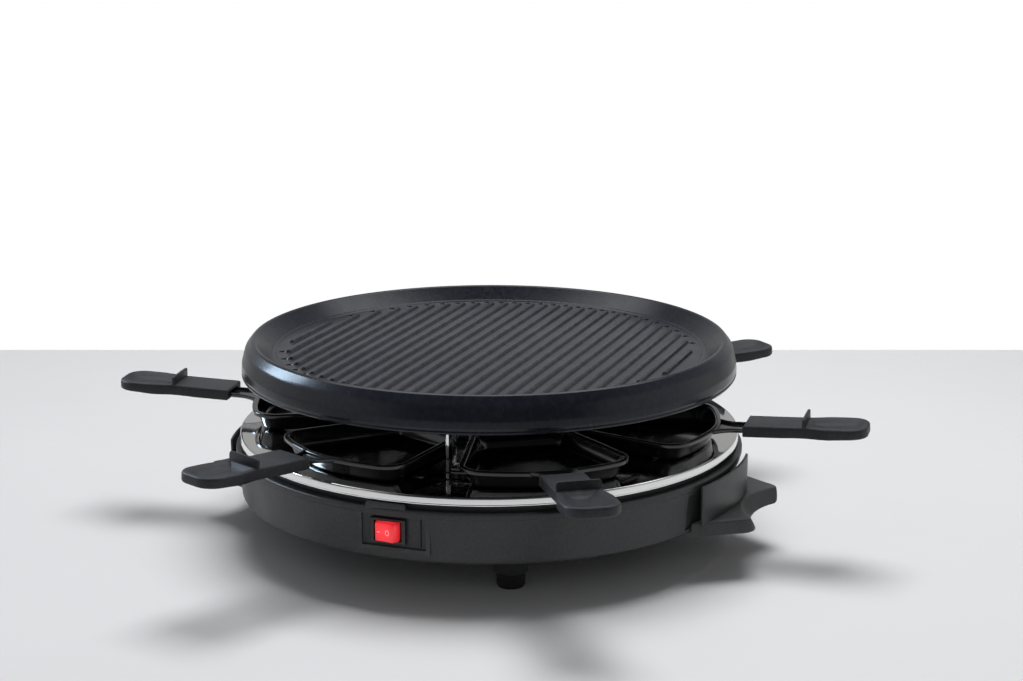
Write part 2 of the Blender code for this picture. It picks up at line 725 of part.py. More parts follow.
def drain_dimples(shop):
    """Shallow round dimples where every other groove ends, near the floor's edge."""
    dimples = []
    places = rib_places()
    circle = PLATE_FLOOR_RADIUS - PLATE_COVE - DRAIN_MARGIN
    for index in range(0, len(places) - 1, 4):
        x = (places[index] + places[index + 1]) / 2
        for side in (-1, 1):
            y = side * math.sqrt(circle**2 - x**2)
            low = PLATE_FLOOR_TOP - DRAIN_DEPTH
            name = f"drain_cut_{index}_{'front' if side < 0 else 'back'}"
            top = PLATE_FLOOR_TOP + OVERRUN
            dimples.append(
                shop.cylinder(name, DRAIN_RADIUS, (x, y, low), (x, y, top), steps=TINY_TURN_STEPS)
            )
    return dimples


# Heating element and its posts
def heater_path():
    """The element's centre line: up one lead, round the outer loop, back by a hairpin round the
    inner loop, and out and down the other lead. Angles count from the terminal post's azimuth."""
    half_pitch = HEATER_LEAD_PITCH / 2
    outer, inner, bend = HEATER_LOOP_RADIUS, HEATER_INNER_LOOP_RADIUS, HEATER_BEND
    low = REFLECTOR_TOP - HEATER_LEAD_DROP
    quarter = [math.pi / 2 * step / HEATER_BEND_STEPS for step in range(HEATER_BEND_STEPS + 1)]

    def at(radius, offset, height):
        angle = math.asin(offset / radius)
        return polar(radius, TERMINAL_AZIMUTH + angle, height)

    def on_loop(radius, angle):
        return polar(radius, TERMINAL_AZIMUTH + angle, HEATER_LEVEL)

    path = [at(outer, half_pitch, low), at(outer, half_pitch, (low + HEATER_LEVEL) / 2)]
    for turn in quarter:
        offset = half_pitch + bend * (1 - math.cos(turn))
        path.append(at(outer, offset, HEATER_LEVEL - bend * (1 - math.sin(turn))))
    start = math.asin((half_pitch + bend) / outer)
    end = 2 * math.pi - HEATER_TURN_BACK
    count = math.ceil((end - start) / HEATER_ARC_STEP)
    path += [on_loop(outer, start + (end - start) * step / count) for step in range(1, count + 1)]
    middle = (outer + inner) / 2
    swing = (outer - inner) / 2
    outward = polar(1.0, TERMINAL_AZIMUTH + end)
    forward = polar(1.0, TERMINAL_AZIMUTH + end + math.pi / 2)
    hairpin_steps = 2 * HEATER_BEND_STEPS
    for step in range(1, hairpin_steps + 1):
        turn = math.pi * step / hairpin_steps
        place = outward * (middle + swing * math.cos(turn)) + forward * (swing * math.sin(turn))
        path.append(place + Vector((0.0, 0.0, HEATER_LEVEL)))
    finish = -math.asin((half_pitch - bend) / inner)
    count = math.ceil((end - finish) / HEATER_ARC_STEP)
    path += [on_loop(inner, end + (finish - end) * step / count) for step in range(1, count + 1)]
    for turn in quarter[1:]:
        offset = bend - half_pitch - bend * math.sin(turn)
        path.append(at(inner + bend * (1 - math.cos(turn)), offset, HEATER_LEVEL))
    path.append(at((inner + outer) / 2, -half_pitch, HEATER_LEVEL))
    for turn in quarter:
        radius = outer - bend * (1 - math.sin(turn))
        path.append(at(radius, -half_pitch, HEATER_LEVEL - bend * (1 - math.cos(turn))))
    path += [at(outer, -half_pitch, (low + HEATER_LEVEL) / 2), at(outer, -half_pitch, low)]
    return path


def heating_element(shop, material):
    element = shop.tube("heating_element", heater_path(), HEATER_TUBE_RADIUS, material)
    shade_round(element)
    return element


def post_screw_place(index):
    """Where post number index is screwed down: (radius, azimuth)."""
    azimuth = POST_AZIMUTH + index * 2 * math.pi / POST_COUNT
    if index == POST_COUNT - 1:
        return POST_OUTER_RADIUS + CHANNEL_TAB * CHANNEL_SCREW_SHARE, azimuth
    radius = (POST_INNER_RADIUS + POST_OUTER_RADIUS) / 2
    offset = POST_SHEET / 2 + POST_TAB_LENGTH * POST_SCREW_SHARE
    return math.hypot(radius, offset), azimuth + math.atan2(offset, radius)


def strip_post(shop, index, material):
    """A strip of sheet that stands edge-on to the axis: a notch holds the element, the outer lug
    carries the grill plate, and the foot tab is bent to one side."""
    name = f"post_{index + 1}"
    seat = HEATER_LEVEL - HEATER_TUBE_RADIUS - GAP
    notch_in = HEATER_LOOP_RADIUS - HEATER_TUBE_RADIUS - GAP
    notch_out = HEATER_LOOP_RADIUS + HEATER_TUBE_RADIUS + GAP
    outline = [
        (POST_INNER_RADIUS, POST_FOOT),
        (POST_OUTER_RADIUS, POST_FOOT),
        (POST_OUTER_RADIUS, POST_TOP),
        (notch_out, POST_TOP),
        (notch_out, seat),
        (notch_in, seat),
        (notch_in, HEATER_LEVEL),
        (notch_in - POST_LUG, HEATER_LEVEL),
    ]
    post = shop.extruded(name, [outline], -POST_SHEET / 2, POST_SHEET / 2, material)
    move_mesh(post, Matrix.Rotation(math.pi / 2, 4, "X"))
    middle = (POST_INNER_RADIUS + POST_OUTER_RADIUS) / 2
    tab = shop.box(
        name + "_tab",
        (middle - POST_TAB_WIDTH / 2, 0.0, POST_FOOT),
        (middle + POST_TAB_WIDTH / 2, POST_SHEET / 2 + POST_TAB_LENGTH, POST_FOOT + POST_TAB_SHEET),
    )
    radius, azimuth = post_screw_place(index)
    place = place_at(POST_AZIMUTH + index * 2 * math.pi / POST_COUNT)
    tab.matrix_world = place
    post.matrix_world = place
    top = POST_FOOT + POST_TAB_SHEET + OVERRUN
    hole = shop.cylinder(
        name + "_hole",
        HOLE_RADIUS,
        polar(radius, azimuth, POST_FOOT - OVERRUN),
        polar(radius, azimuth, top),
        steps=TINY_TURN_STEPS,
    )
    unite(post, tab)
    cut(post, hole)
    return post


def terminal_post(shop, material):
    """A channel, open inwards, that hides the element's two leads. Its back wall rises to carry the
    grill plate, and its foot tab is bent outwards."""
    half = CHANNEL_WIDTH / 2
    back_in = POST_OUTER_RADIUS - POST_TAB_SHEET
    front = POST_OUTER_RADIUS - CHANNEL_DEPTH
    channel = [
        (front, -half),
        (POST_OUTER_RADIUS, -half),
        (POST_OUTER_RADIUS, half),
        (front, half),
        (front, half - POST_TAB_SHEET),
        (back_in, half - POST_TAB_SHEET),
        (back_in, POST_TAB_SHEET - half),
        (front, POST_TAB_SHEET - half),
    ]
    seat = HEATER_LEVEL - HEATER_TUBE_RADIUS - HEATER_BEND / 2
    post = shop.extruded("terminal_post", [channel], POST_FOOT, seat, material)
    wall = shop.box(
        "terminal_post_wall",
        (back_in, -half, seat - OVERRUN),
        (POST_OUTER_RADIUS, half, POST_TOP),
    )
    tab_end = POST_OUTER_RADIUS + CHANNEL_TAB
    tab = shop.box(
        "terminal_post_tab",
        (back_in, -half / 2, POST_FOOT),
        (tab_end, half / 2, POST_FOOT + POST_TAB_SHEET),
    )
    place = place_at(TERMINAL_AZIMUTH)
    for item in (post, wall, tab):
        item.matrix_world = place
    radius, azimuth = post_screw_place(POST_COUNT - 1)
    hole = shop.cylinder(
        "terminal_post_hole",
        HOLE_RADIUS,
        polar(radius, azimuth, POST_FOOT - OVERRUN),
        polar(radius, azimuth, POST_FOOT + POST_TAB_SHEET + OVERRUN),
        steps=TINY_TURN_STEPS,
    )
    unite(post, wall, tab)
    cut(post, hole)
    return post


def lead_places():
    """Where the element's two leads go down: (radius, azimuth) of each."""
    angle = math.asin(HEATER_LEAD_PITCH / 2 / HEATER_LOOP_RADIUS)
    return [(HEATER_LOOP_RADIUS, TERMINAL_AZIMUTH + side * angle) for side in (-1, 1)]


# Reflector plate
def reflector_plate(shop, material):
    """Polished sheet plate with a turned-down edge, pierced for the leads and the post screws."""
    underside = REFLECTOR_TOP - REFLECTOR_SHEET
    low = REFLECTOR_TOP - REFLECTOR_FLANGE
    inside = REFLECTOR_RADIUS - REFLECTOR_SHEET
    section = [
        (0.0, REFLECTOR_TOP),
        (REFLECTOR_RADIUS - REFLECTOR_ROUND, REFLECTOR_TOP),
        (REFLECTOR_RADIUS, REFLECTOR_TOP - REFLECTOR_ROUND),
        (REFLECTOR_RADIUS, low),
        (inside, low),
        (inside, underside),
        (0.0, underside),
    ]
    plate = shop.turned("reflector_plate", section, material, closed=False)
    for index in range(POST_COUNT):
        radius, azimuth = post_screw_place(index)
        low_end = polar(radius, azimuth, underside - OVERRUN)
        high_end = polar(radius, azimuth, REFLECTOR_TOP + OVERRUN)
        cut(
            plate,
            shop.cylinder(
                f"reflector_screw_cut_{index}", HOLE_RADIUS, low_end, high_end, steps=TINY_TURN_STEPS
            ),
        )
    for index, (radius, azimuth) in enumerate(lead_places()):
        low_end = polar(radius, azimuth, underside - OVERRUN)
        high_end = polar(radius, azimuth, REFLECTOR_TOP + OVERRUN)
        cut(
            plate,
            shop.cylinder(
                f"reflector_lead_cut_{index}", LEAD_HOLE_RADIUS, low_end, high_end, steps=TINY_TURN_STEPS
            ),
        )
    shade_round(plate)
    return plate


# Base housing
def housing_section():
    """The housing's rim, wall and the seat that carries the deck, as one closed section."""
    fillet_centre = (WALL_FOOT_RADIUS - WALL_FOOT_FILLET, FLOOR_CLEARANCE + WALL_FOOT_FILLET)
    fillet = [
        (
            fillet_centre[0] + WALL_FOOT_FILLET * math.cos(turn),
            fillet_centre[1] - WALL_FOOT_FILLET * math.sin(turn),
        )
        for turn in [math.pi / 2 * step / WALL_FOOT_STEPS for step in range(WALL_FOOT_STEPS + 1)]
    ]
    wall_top = RIM_RADIUS - RIM_STEP
    return [
        (COLLAR_RADIUS + GAP, RIM_TOP),
        (RIM_RADIUS - RIM_CHAMFER, RIM_TOP),
        (RIM_RADIUS, RIM_TOP - RIM_CHAMFER),
        (RIM_RADIUS, RIM_TOP - RIM_BAND),
        (wall_top, RIM_TOP - RIM_BAND - RIM_STEP),
        *fillet,
        (fillet_centre[0], FLOOR_CLEARANCE + WALL / 2),
        (WALL_FOOT_RADIUS - WALL, fillet_centre[1]),
        (wall_top - WALL, DECK_SEAT_TOP - DECK_SEAT),
        (DECK_SEAT_RADIUS, DECK_SEAT_TOP - DECK_SEAT),
        (DECK_SEAT_RADIUS, DECK_SEAT_TOP),
        (COLLAR_RADIUS + GAP, DECK_SEAT_TOP),
    ]


def cover_screw_places():
    """Azimuths of the screws that hold the bottom cover, between the feet."""
    return [
        FOOT_AZIMUTH + COVER_SCREW_OFFSET + index * 2 * math.pi / FOOT_COUNT for index in range(FOOT_COUNT)
    ]


def base_housing(shop, material):
    """Moulded ring housing: tapered wall, banded rim, a seat for the deck, switch panel, rim tab,
    carry handle pockets and the cord inlet."""
    housing = shop.turned("base_housing", housing_section(), material)
    for name, azimuth in carry_screw_places():
        start = polar(CARRY_PAD_FACE, azimuth, CARRY_SCREW_LEVEL)
        end = polar(WALL_FOOT_RADIUS - WALL / 2, azimuth, CARRY_SCREW_LEVEL)
        unite(housing, shop.cylinder(name + "_pad", CARRY_PAD_RADIUS, start, end))
    unite(housing, switch_pad(shop), rim_tab(shop))
    cut(housing, *switch_cuts(shop), *carry_pockets(shop), *housing_holes(shop))
    shade_round(housing)
    return housing


def deck_plate(shop, material):
    """Moulded deck that lies on the housing's seat: a collar carries the reflector plate, bosses
    take the post screws above and the cover screws below, and the middle is open."""
    section = [
        (COLLAR_RADIUS, COLLAR_TOP),
        (COLLAR_RADIUS, DECK_UNDERSIDE),
        (DECK_HOLE_RADIUS, DECK_UNDERSIDE),
        (DECK_HOLE_RADIUS, RIM_TOP),
        (COLLAR_RADIUS - COLLAR_WALL, RIM_TOP),
        (COLLAR_RADIUS - COLLAR_WALL, COLLAR_TOP),
    ]
    deck = shop.turned("deck_plate", section, material)
    for index in range(POST_COUNT):
        radius, azimuth = post_screw_place(index)
        start = polar(radius, azimuth, RIM_TOP - SINK)
        boss = shop.cylinder(f"deck_boss_{index}", COVER_BOSS_RADIUS, start, polar(radius, azimuth, COLLAR_TOP))
        unite(deck, boss)
    for index, azimuth in enumerate(cover_screw_places()):
        low = polar(COVER_SCREW_CIRCLE, azimuth, COVER_TOP + GAP)
        high = polar(COVER_SCREW_CIRCLE, azimuth, DECK_UNDERSIDE + SINK)
        unite(deck, shop.cylinder(f"cover_boss_{index}", COVER_BOSS_RADIUS, low, high))
    cut(deck, *deck_holes(shop))
    shade_round(deck)
    return deck


def switch_pad(shop):
    """A pad inside the wall that thickens it behind the flat switch panel."""
    return shop.box(
        "switch_pad",
        (-PANEL_LEFT - WALL, -PANEL_FACE - SINK, PANEL_LOW - WALL),
        (PANEL_RIGHT + WALL, PANEL_PAD - PANEL_FACE, DECK_SEAT_TOP - DECK_SEAT / 2),
    )


def rim_tab(shop):
    """The tab with chamfered corners that stands on the rim above the switch."""
    half = RIM_TAB_WIDTH / 2
    top = RIM_TAB_HEIGHT
    outline = [
        (-half - RIM_TAB_CORNER, -SINK),
        (half + RIM_TAB_CORNER, -SINK),
        (half, top - RIM_TAB_CORNER),
        (half - RIM_TAB_CORNER, top),
        (RIM_TAB_CORNER - half, top),
        (-half, top - RIM_TAB_CORNER),
    ]
    tab = shop.extruded("rim_tab", [outline], 0.0, RIM_TAB_WALL)
    front = RIM_RADIUS - RIM_CHAMFER
    turn = Matrix.Rotation(math.pi / 2, 4, "X")
    azimuth = math.asin(RIM_TAB_OFFSET / front)
    spot = polar(front * math.cos(half / front) - RIM_TAB_WALL, azimuth, RIM_TOP)
    move_mesh(tab, Matrix.Translation(spot) @ Matrix.Rotation(azimuth, 4, "Z") @ turn)
    return tab


def switch_cuts(shop):
    """The flat panel, the slot beside the switch and the hole for the switch body."""
    outer = RIM_RADIUS + OVERRUN
    panel = shop.box(
        "panel_cut",
        (-PANEL_LEFT, -outer, PANEL_LOW),
        (PANEL_RIGHT, -PANEL_FACE, PANEL_HIGH),
    )
    slot = shop.box(
        "panel_slot_cut",
        (PANEL_SLOT_OFFSET, -outer, PANEL_LOW + PANEL_SLOT_WIDTH),
        (
            PANEL_SLOT_OFFSET + PANEL_SLOT_WIDTH,
            PANEL_SLOT_DEPTH - PANEL_FACE,
            PANEL_HIGH - PANEL_SLOT_WIDTH,
        ),
    )
    half_width = SWITCH_BODY_WIDTH / 2 + GAP
    half_height = SWITCH_BODY_HEIGHT / 2 + GAP
    body = shop.box(
        "switch_body_cut",
        (SWITCH_OFFSET - half_width, -outer, SWITCH_HEIGHT - half_height),
        (SWITCH_OFFSET + half_width, PANEL_PAD + OVERRUN - PANEL_FACE, SWITCH_HEIGHT + half_height),
    )
    return [panel, slot, body]


def carry_pockets(shop):
    """Shallow pockets in the wall behind the carry handles, which follow the wall's taper."""
    low = FLOOR_CLEARANCE + WALL_FOOT_FILLET
    high = RIM_TOP - RIM_BAND - CARRY_POCKET_TOP
    wall_top = RIM_TOP - RIM_BAND - RIM_STEP
    slope = (RIM_RADIUS - RIM_STEP - WALL_FOOT_RADIUS) / (wall_top - low)
    low_radius = WALL_FOOT_RADIUS - CARRY_POCKET
    section = [
        (low_radius, low),
        (low_radius + slope * (high - low), high),
        (RIM_RADIUS + OVERRUN, high),
        (RIM_RADIUS + OVERRUN, low),
    ]
    pockets = []
    for side, azimuth in CARRY_AZIMUTHS.items():
        start = azimuth - math.pi / 2 - CARRY_POCKET_HALF_ANGLE
        end = start + 2 * CARRY_POCKET_HALF_ANGLE
        pockets.append(shop.sector(f"carry_pocket_{side}", section, start, end))
    return pockets


def carry_screw_places():
    """(name, azimuth) of the screws that hold the carry handles."""
    return [
        (f"carry_screw_{side}_{place}", azimuth + sign * CARRY_SCREW_ANGLE)
        for side, azimuth in CARRY_AZIMUTHS.items()
        for place, sign in (("front", -1 if side == "right" else 1), ("back", 1 if side == "right" else -1))
    ]


def deck_holes(shop):
    """Holes for the post screws, the cover screws and the element's leads."""
    holes = []
    for index in range(POST_COUNT):
        radius, azimuth = post_screw_place(index)
        start = polar(radius, azimuth, COLLAR_TOP - POST_SCREW_LENGTH)
        end = polar(radius, azimuth, COLLAR_TOP + OVERRUN)
        holes.append(
            shop.cylinder(f"deck_screw_cut_{index}", HOLE_RADIUS, start, end, steps=TINY_TURN_STEPS)
        )
    for index, azimuth in enumerate(cover_screw_places()):
        start = polar(COVER_SCREW_CIRCLE, azimuth, FLOOR_CLEARANCE)
        end = polar(COVER_SCREW_CIRCLE, azimuth, FLOOR_CLEARANCE + COVER_SCREW_LENGTH + OVERRUN)
        holes.append(
            shop.cylinder(f"cover_boss_cut_{index}", HOLE_RADIUS, start, end, steps=TINY_TURN_STEPS)
        )
    for index, (radius, azimuth) in enumerate(lead_places()):
        start = polar(radius, azimuth, DECK_UNDERSIDE - OVERRUN)
        end = polar(radius, azimuth, RIM_TOP + OVERRUN)
        holes.append(
            shop.cylinder(f"deck_lead_cut_{index}", LEAD_HOLE_RADIUS, start, end, steps=TINY_TURN_STEPS)
        )
    return holes


def housing_holes(shop):
    """Holes for the carry handles' screws and the cord inlet."""
    holes = []
    for name, azimuth in carry_screw_places():
        start = polar(CARRY_PAD_FACE - OVERRUN, azimuth, CARRY_SCREW_LEVEL)
        end = polar(WALL_FOOT_RADIUS + OVERRUN, azimuth, CARRY_SCREW_LEVEL)
        holes.append(shop.cylinder(name + "_wall_cut", HOLE_RADIUS, start, end, steps=TINY_TURN_STEPS))
    start = polar(COLLAR_RADIUS - WALL, INLET_AZIMUTH, INLET_HEIGHT)
    end = polar(RIM_RADIUS + OVERRUN, INLET_AZIMUTH, INLET_HEIGHT)
    holes.append(shop.cylinder("inlet_cut", INLET_HOLE_RADIUS, start, end))
    return holes


# Bottom cover and feet
def bottom_cover(shop, material):
    """Disc that closes the base from below, with three hollow foot bosses, radial vents and holes
    for its screws."""
    section = [
        (0.0, COVER_TOP),
        (COVER_RADIUS, COVER_TOP),
        (COVER_RADIUS, FLOOR_CLEARANCE),
        (0.0, FLOOR_CLEARANCE),
    ]
    cover = shop.turned("bottom_cover", section, material, closed=False)
    boss_low = FOOT_TIP_HEIGHT + GAP
    bore_top = FOOT_TIP_HEIGHT + FOOT_STEM_LENGTH + OVERRUN
    for index in range(FOOT_COUNT):
        azimuth = FOOT_AZIMUTH + index * 2 * math.pi / FOOT_COUNT
        low = polar(FOOT_CIRCLE, azimuth, boss_low)
        high = polar(FOOT_CIRCLE, azimuth, FLOOR_CLEARANCE + SINK)
        boss = shop.cylinder(
            f"foot_boss_{index}", FOOT_BOSS_TIP_RADIUS, low, high, end_radius=FOOT_BOSS_TOP_RADIUS
        )
        bore = shop.cylinder(
            f"foot_bore_{index}",
            FOOT_STEM_RADIUS + GAP,
            polar(FOOT_CIRCLE, azimuth, boss_low - OVERRUN),
            polar(FOOT_CIRCLE, azimuth, bore_top),
        )
        unite(cover, boss)
        cut(cover, bore)
    for index, azimuth in enumerate(cover_screw_places()):
        start = polar(COVER_SCREW_CIRCLE, azimuth, FLOOR_CLEARANCE - OVERRUN)
        end = polar(COVER_SCREW_CIRCLE, azimuth, COVER_TOP + OVERRUN)
        cut(cover, shop.cylinder(f"cover_hole_{index}", HOLE_RADIUS, start, end, steps=TINY_TURN_STEPS))
    for index in range(VENT_COUNT):
        azimuth = VENT_AZIMUTH + index * 2 * math.pi / VENT_COUNT
        vent = vent_cutter(shop, index)
        vent.matrix_world = place_at(azimuth)
        cut(cover, vent)
    shade_round(cover)
    return cover


def vent_cutter(shop, index):
    """One round-ended vent slot that points away from the axis."""
    half = VENT_LENGTH / 2 - VENT_WIDTH / 2
    step = math.pi / VENT_END_STEPS
    outline = arc_points(
        VENT_WIDTH / 2, -math.pi / 2, math.pi / 2, step, (VENT_CIRCLE + half, 0.0)
    ) + arc_points(VENT_WIDTH / 2, math.pi / 2, 3 * math.pi / 2, step, (VENT_CIRCLE - half, 0.0))
    low = FLOOR_CLEARANCE - OVERRUN
    return shop.extruded(f"vent_cut_{index}", [outline], low, COVER_TOP + OVERRUN)


def rubber_feet(shop, material):
    """Three rubber feet with a stem that plugs into the foot boss."""
    section = [
        (0.0, FOOT_TIP_HEIGHT + FOOT_STEM_LENGTH),
        (FOOT_STEM_RADIUS, FOOT_TIP_HEIGHT + FOOT_STEM_LENGTH),
        (FOOT_STEM_RADIUS, FOOT_TIP_HEIGHT),
        (FOOT_HEAD_RADIUS, FOOT_TIP_HEIGHT),
        (FOOT_SOLE_RADIUS + FOOT_SOLE_EDGE / 2, FOOT_SOLE_EDGE),
        (FOOT_SOLE_RADIUS, 0.0),
        (0.0, 0.0),
    ]
    for index in range(FOOT_COUNT):
        azimuth = FOOT_AZIMUTH + index * 2 * math.pi / FOOT_COUNT
        name = f"rubber_foot_{index + 1}"
        foot = shop.turned(name, section, material, SMALL_TURN_STEPS, closed=False)
        foot.location = polar(FOOT_CIRCLE, azimuth)
        shade_round(foot)


# Carry handles
def carry_outline(inset=0.0):
    """The carry handle's plan, drawn with +X outwards: an inner arc along the wall, flared sides
    and rounded outer corners."""
    inner = CARRY_INNER_RADIUS + inset
    angle = CARRY_HALF_ANGLE - 2 * inset / CARRY_INNER_RADIUS
    reach = CARRY_REACH - inset
    half = CARRY_HALF_WIDTH - inset / 2
    arc = arc_points(inner, angle, -angle)
    corners = [
        (*arc[-1], 0.0),
        (reach, -half, CARRY_CORNER),
        (reach, half, CARRY_CORNER),
        (*arc[0], 0.0),
    ]
    rounded = rounded_outline(
        [
            (corners[0][0], corners[0][1], CARRY_CORNER / 8, 1),
            (corners[1][0], corners[1][1], corners[1][2], CARRY_CORNER_STEPS),
            (corners[2][0], corners[2][1], corners[2][2], CARRY_CORNER_STEPS),
            (corners[3][0], corners[3][1], CARRY_CORNER / 8, 1),
        ]
    )
    return [tuple(point) for point, _ in rounded] + arc[1:-1]


def scoop(shop, name, wall=0.0):
    """The flared cut that shapes the finger scoop in the handle's outer edge."""
    low, high = CARRY_BOTTOM - OVERRUN, CARRY_TOP + OVERRUN
    flare = SCOOP_FLARE / CARRY_THICKNESS * OVERRUN
    return shop.cylinder(
        name,
        SCOOP_RADIUS + wall - flare,
        (SCOOP_CENTRE, 0.0, low),
        (SCOOP_CENTRE, 0.0, high),
        steps=SCOOP_STEPS,
        end_radius=SCOOP_RADIUS + wall + SCOOP_FLARE + flare,
    )


def carry_handle(shop, side, azimuth, material):
    """A hollow shelf with a scooped outer edge and a thin shield that stands in front of the wall."""
    name = f"carry_handle_{side}"
    handle = shop.extruded(name, [carry_outline()], CARRY_BOTTOM, CARRY_TOP, material)
    cut(handle, scoop(shop, name + "_scoop"))
    round_edges(handle, CARRY_ROUND)
    hollow_top = CARRY_TOP - CARRY_WALL
    hollow = shop.extruded(name + "_hollow", [carry_outline(CARRY_WALL)], CARRY_BOTTOM - OVERRUN, hollow_top)
    cut(hollow, scoop(shop, name + "_hollow_scoop", CARRY_WALL))
    cut(handle, hollow)
    section = [
        (SHIELD_INNER_RADIUS, CARRY_TOP - CARRY_WALL / 2),
        (SHIELD_INNER_RADIUS, SHIELD_TOP),
        (SHIELD_OUTER_RADIUS, SHIELD_TOP),
        (SHIELD_OUTER_RADIUS, CARRY_TOP - CARRY_WALL / 2),
    ]
    if side == "right":
        start, end = -SHIELD_FRONT_ANGLE, SHIELD_BACK_ANGLE
    else:
        start, end = -SHIELD_BACK_ANGLE, SHIELD_FRONT_ANGLE
    shield = shop.sector(name + "_shield", section, start, end)
    unite(handle, shield)
    for place, sign in (("a", -1), ("b", 1)):
        angle = sign * CARRY_SCREW_ANGLE
        direction = Vector((math.cos(angle), math.sin(angle), 0.0))
        level = Vector((0.0, 0.0, CARRY_SCREW_LEVEL))
        near = direction * (CARRY_INNER_RADIUS + CARRY_WALL / 2) + level
        far = direction * (CARRY_INNER_RADIUS + CARRY_BOSS_LENGTH) + level
        boss = shop.cylinder(f"{name}_boss_{place}", CARRY_BOSS_RADIUS, near, far)
        unite(handle, boss)
        near = direction * (CARRY_INNER_RADIUS - OVERRUN) + level
        far = direction * (CARRY_INNER_RADIUS + CARRY_BOSS_LENGTH - OVERRUN) + level
        hole = shop.cylinder(f"{name}_hole_{place}", HOLE_RADIUS, near, far, steps=TINY_TURN_STEPS)
        cut(handle, hole)
    bake(handle)
    shade_round(handle)
    handle.matrix_world = place_at(azimuth)
    return handle


# Pans
def pan_outline():
    """The rim's plan in the pan's frame, +X outwards: a wide bowed outer edge, rounded corners and
    sides that draw in towards the axis."""
    shoulder_reach = PAN_CORNER_REACH + (PAN_OUTER_REACH - PAN_CORNER_REACH) * PAN_SHOULDER_REACH_SHARE
    shoulder = PAN_CORNER_HALF_WIDTH * PAN_SHOULDER_WIDTH_SHARE
    return rounded_outline(
        [
            (PAN_OUTER_REACH, 0.0, PAN_EDGE_RADIUS, PAN_EDGE_STEPS),
            (shoulder_reach, shoulder, PAN_EDGE_RADIUS, PAN_EDGE_STEPS),
            (PAN_CORNER_REACH, PAN_CORNER_HALF_WIDTH, PAN_CORNER_RADIUS, PAN_CORNER_STEPS),
            (PAN_INNER_REACH, PAN_INNER_HALF_WIDTH, PAN_INNER_RADIUS, PAN_INNER_STEPS),
            (PAN_INNER_REACH, -PAN_INNER_HALF_WIDTH, PAN_INNER_RADIUS, PAN_INNER_STEPS),
            (PAN_CORNER_REACH, -PAN_CORNER_HALF_WIDTH, PAN_CORNER_RADIUS, PAN_CORNER_STEPS),
            (shoulder_reach, -shoulder, PAN_EDGE_RADIUS, PAN_EDGE_STEPS),
        ]
    )


def pan_levels():
    """(inset from the rim's outline, height) of each ring of the pan, from the middle of its
    underside up the outside, over the rim and down the inside."""
    wall_top = PAN_LIP + PAN_SHEET
    foot = PAN_LIP + PAN_TAPER
    return [
        (foot + PAN_BOTTOM_ROUND, PAN_BOTTOM),
        (foot, PAN_BOTTOM + PAN_BOTTOM_ROUND / 2),
        (PAN_LIP, PAN_TOP - PAN_SHEET),
        (PAN_SHEET, PAN_TOP - PAN_SHEET),
        (PAN_SHEET, PAN_TOP - PAN_BAND),
        (0.0, PAN_TOP - PAN_BAND),
        (0.0, PAN_TOP),
        (wall_top, PAN_TOP),
        (foot + PAN_SHEET, PAN_BOTTOM + PAN_SHEET),
    ]


def pan_body(shop, material):
    """The pressed pan with its tongue: rings of the rim's outline, drawn in level by level, closed
    by a flat bottom inside and out."""
    outline = pan_outline()
    form = bmesh.new()
    rings = []
    for inset, height in pan_levels():
        ring = [form.verts.new((*(point - normal * inset), height)) for point, normal in outline]
        rings.append(ring)
    count = len(outline)
    for lower, upper in zip(rings, rings[1:]):
        for index in range(count):
            after = (index + 1) % count
            form.faces.new((lower[index], lower[after], upper[after], upper[index]))
    form.faces.new(list(reversed(rings[0])))
    form.faces.new(rings[-1])
    bmesh.ops.remove_doubles(form, verts=form.verts, dist=WELD)
    bmesh.ops.recalc_face_normals(form, faces=form.faces)
    mesh = bpy.data.meshes.new("pan")
    form.to_mesh(mesh)
    form.free()
    pan = shop.add("pan_1", mesh, material)
    unite(pan, pan_tongue(shop), tongue_flare(shop))
    rivet_hole = shop.cylinder(
        "tongue_hole",
        RIVET_SHANK_RADIUS + GAP,
        (HANDLE_START + RIVET_OFFSET, 0.0, TONGUE_BOTTOM - OVERRUN),
        (HANDLE_START + RIVET_OFFSET, 0.0, TONGUE_BOTTOM + TONGUE_SHEET + OVERRUN),
        steps=TINY_TURN_STEPS,
    )
    move_mesh(rivet_hole, handle_tilt())
    cut(pan, rivet_hole)
    return pan


def pan_tongue(shop):
    """The channel that joins the pan to its handle, with an upturned rail along each side."""
    half = TONGUE_WIDTH / 2
    inner = half - TONGUE_SHEET
    rail = TONGUE_BOTTOM + TONGUE_RAIL
    section = [
        (-half, TONGUE_BOTTOM),
        (half, TONGUE_BOTTOM),
        (half, rail),
        (inner, rail),
        (inner, TONGUE_BOTTOM + TONGUE_SHEET),
        (-inner, TONGUE_BOTTOM + TONGUE_SHEET),
        (-inner, rail),
        (-half, rail),
    ]
    start = PAN_OUTER_REACH - TONGUE_ROOT
    tongue = shop.extruded("pan_tongue", [section], start, HANDLE_START + TONGUE_IN_HANDLE)
    lie_along_x(tongue)
    move_mesh(tongue, handle_tilt())
    return tongue


def tongue_flare(shop):
    """The fillet of sheet that spreads the tongue's root along the pan's rim."""
    start = PAN_OUTER_REACH - TONGUE_ROOT
    wide, narrow = TONGUE_FLARE_WIDTH / 2, TONGUE_WIDTH / 2
    outline = [
        (start - TONGUE_ROOT / 2, -wide),
        (start + TONGUE_ROOT, -wide),
        (start + TONGUE_FLARE_LENGTH / 2, -narrow - (wide - narrow) / 3),
        (start + TONGUE_FLARE_LENGTH, -narrow),
        (start + TONGUE_FLARE_LENGTH, narrow),
        (start + TONGUE_FLARE_LENGTH / 2, narrow + (wide - narrow) / 3),
        (start + TONGUE_ROOT, wide),
        (start - TONGUE_ROOT / 2, wide),
    ]
    flare = shop.extruded("tongue_flare", [outline], TONGUE_BOTTOM, TONGUE_BOTTOM + TONGUE_SHEET)
    move_mesh(flare, handle_tilt())
    return flare


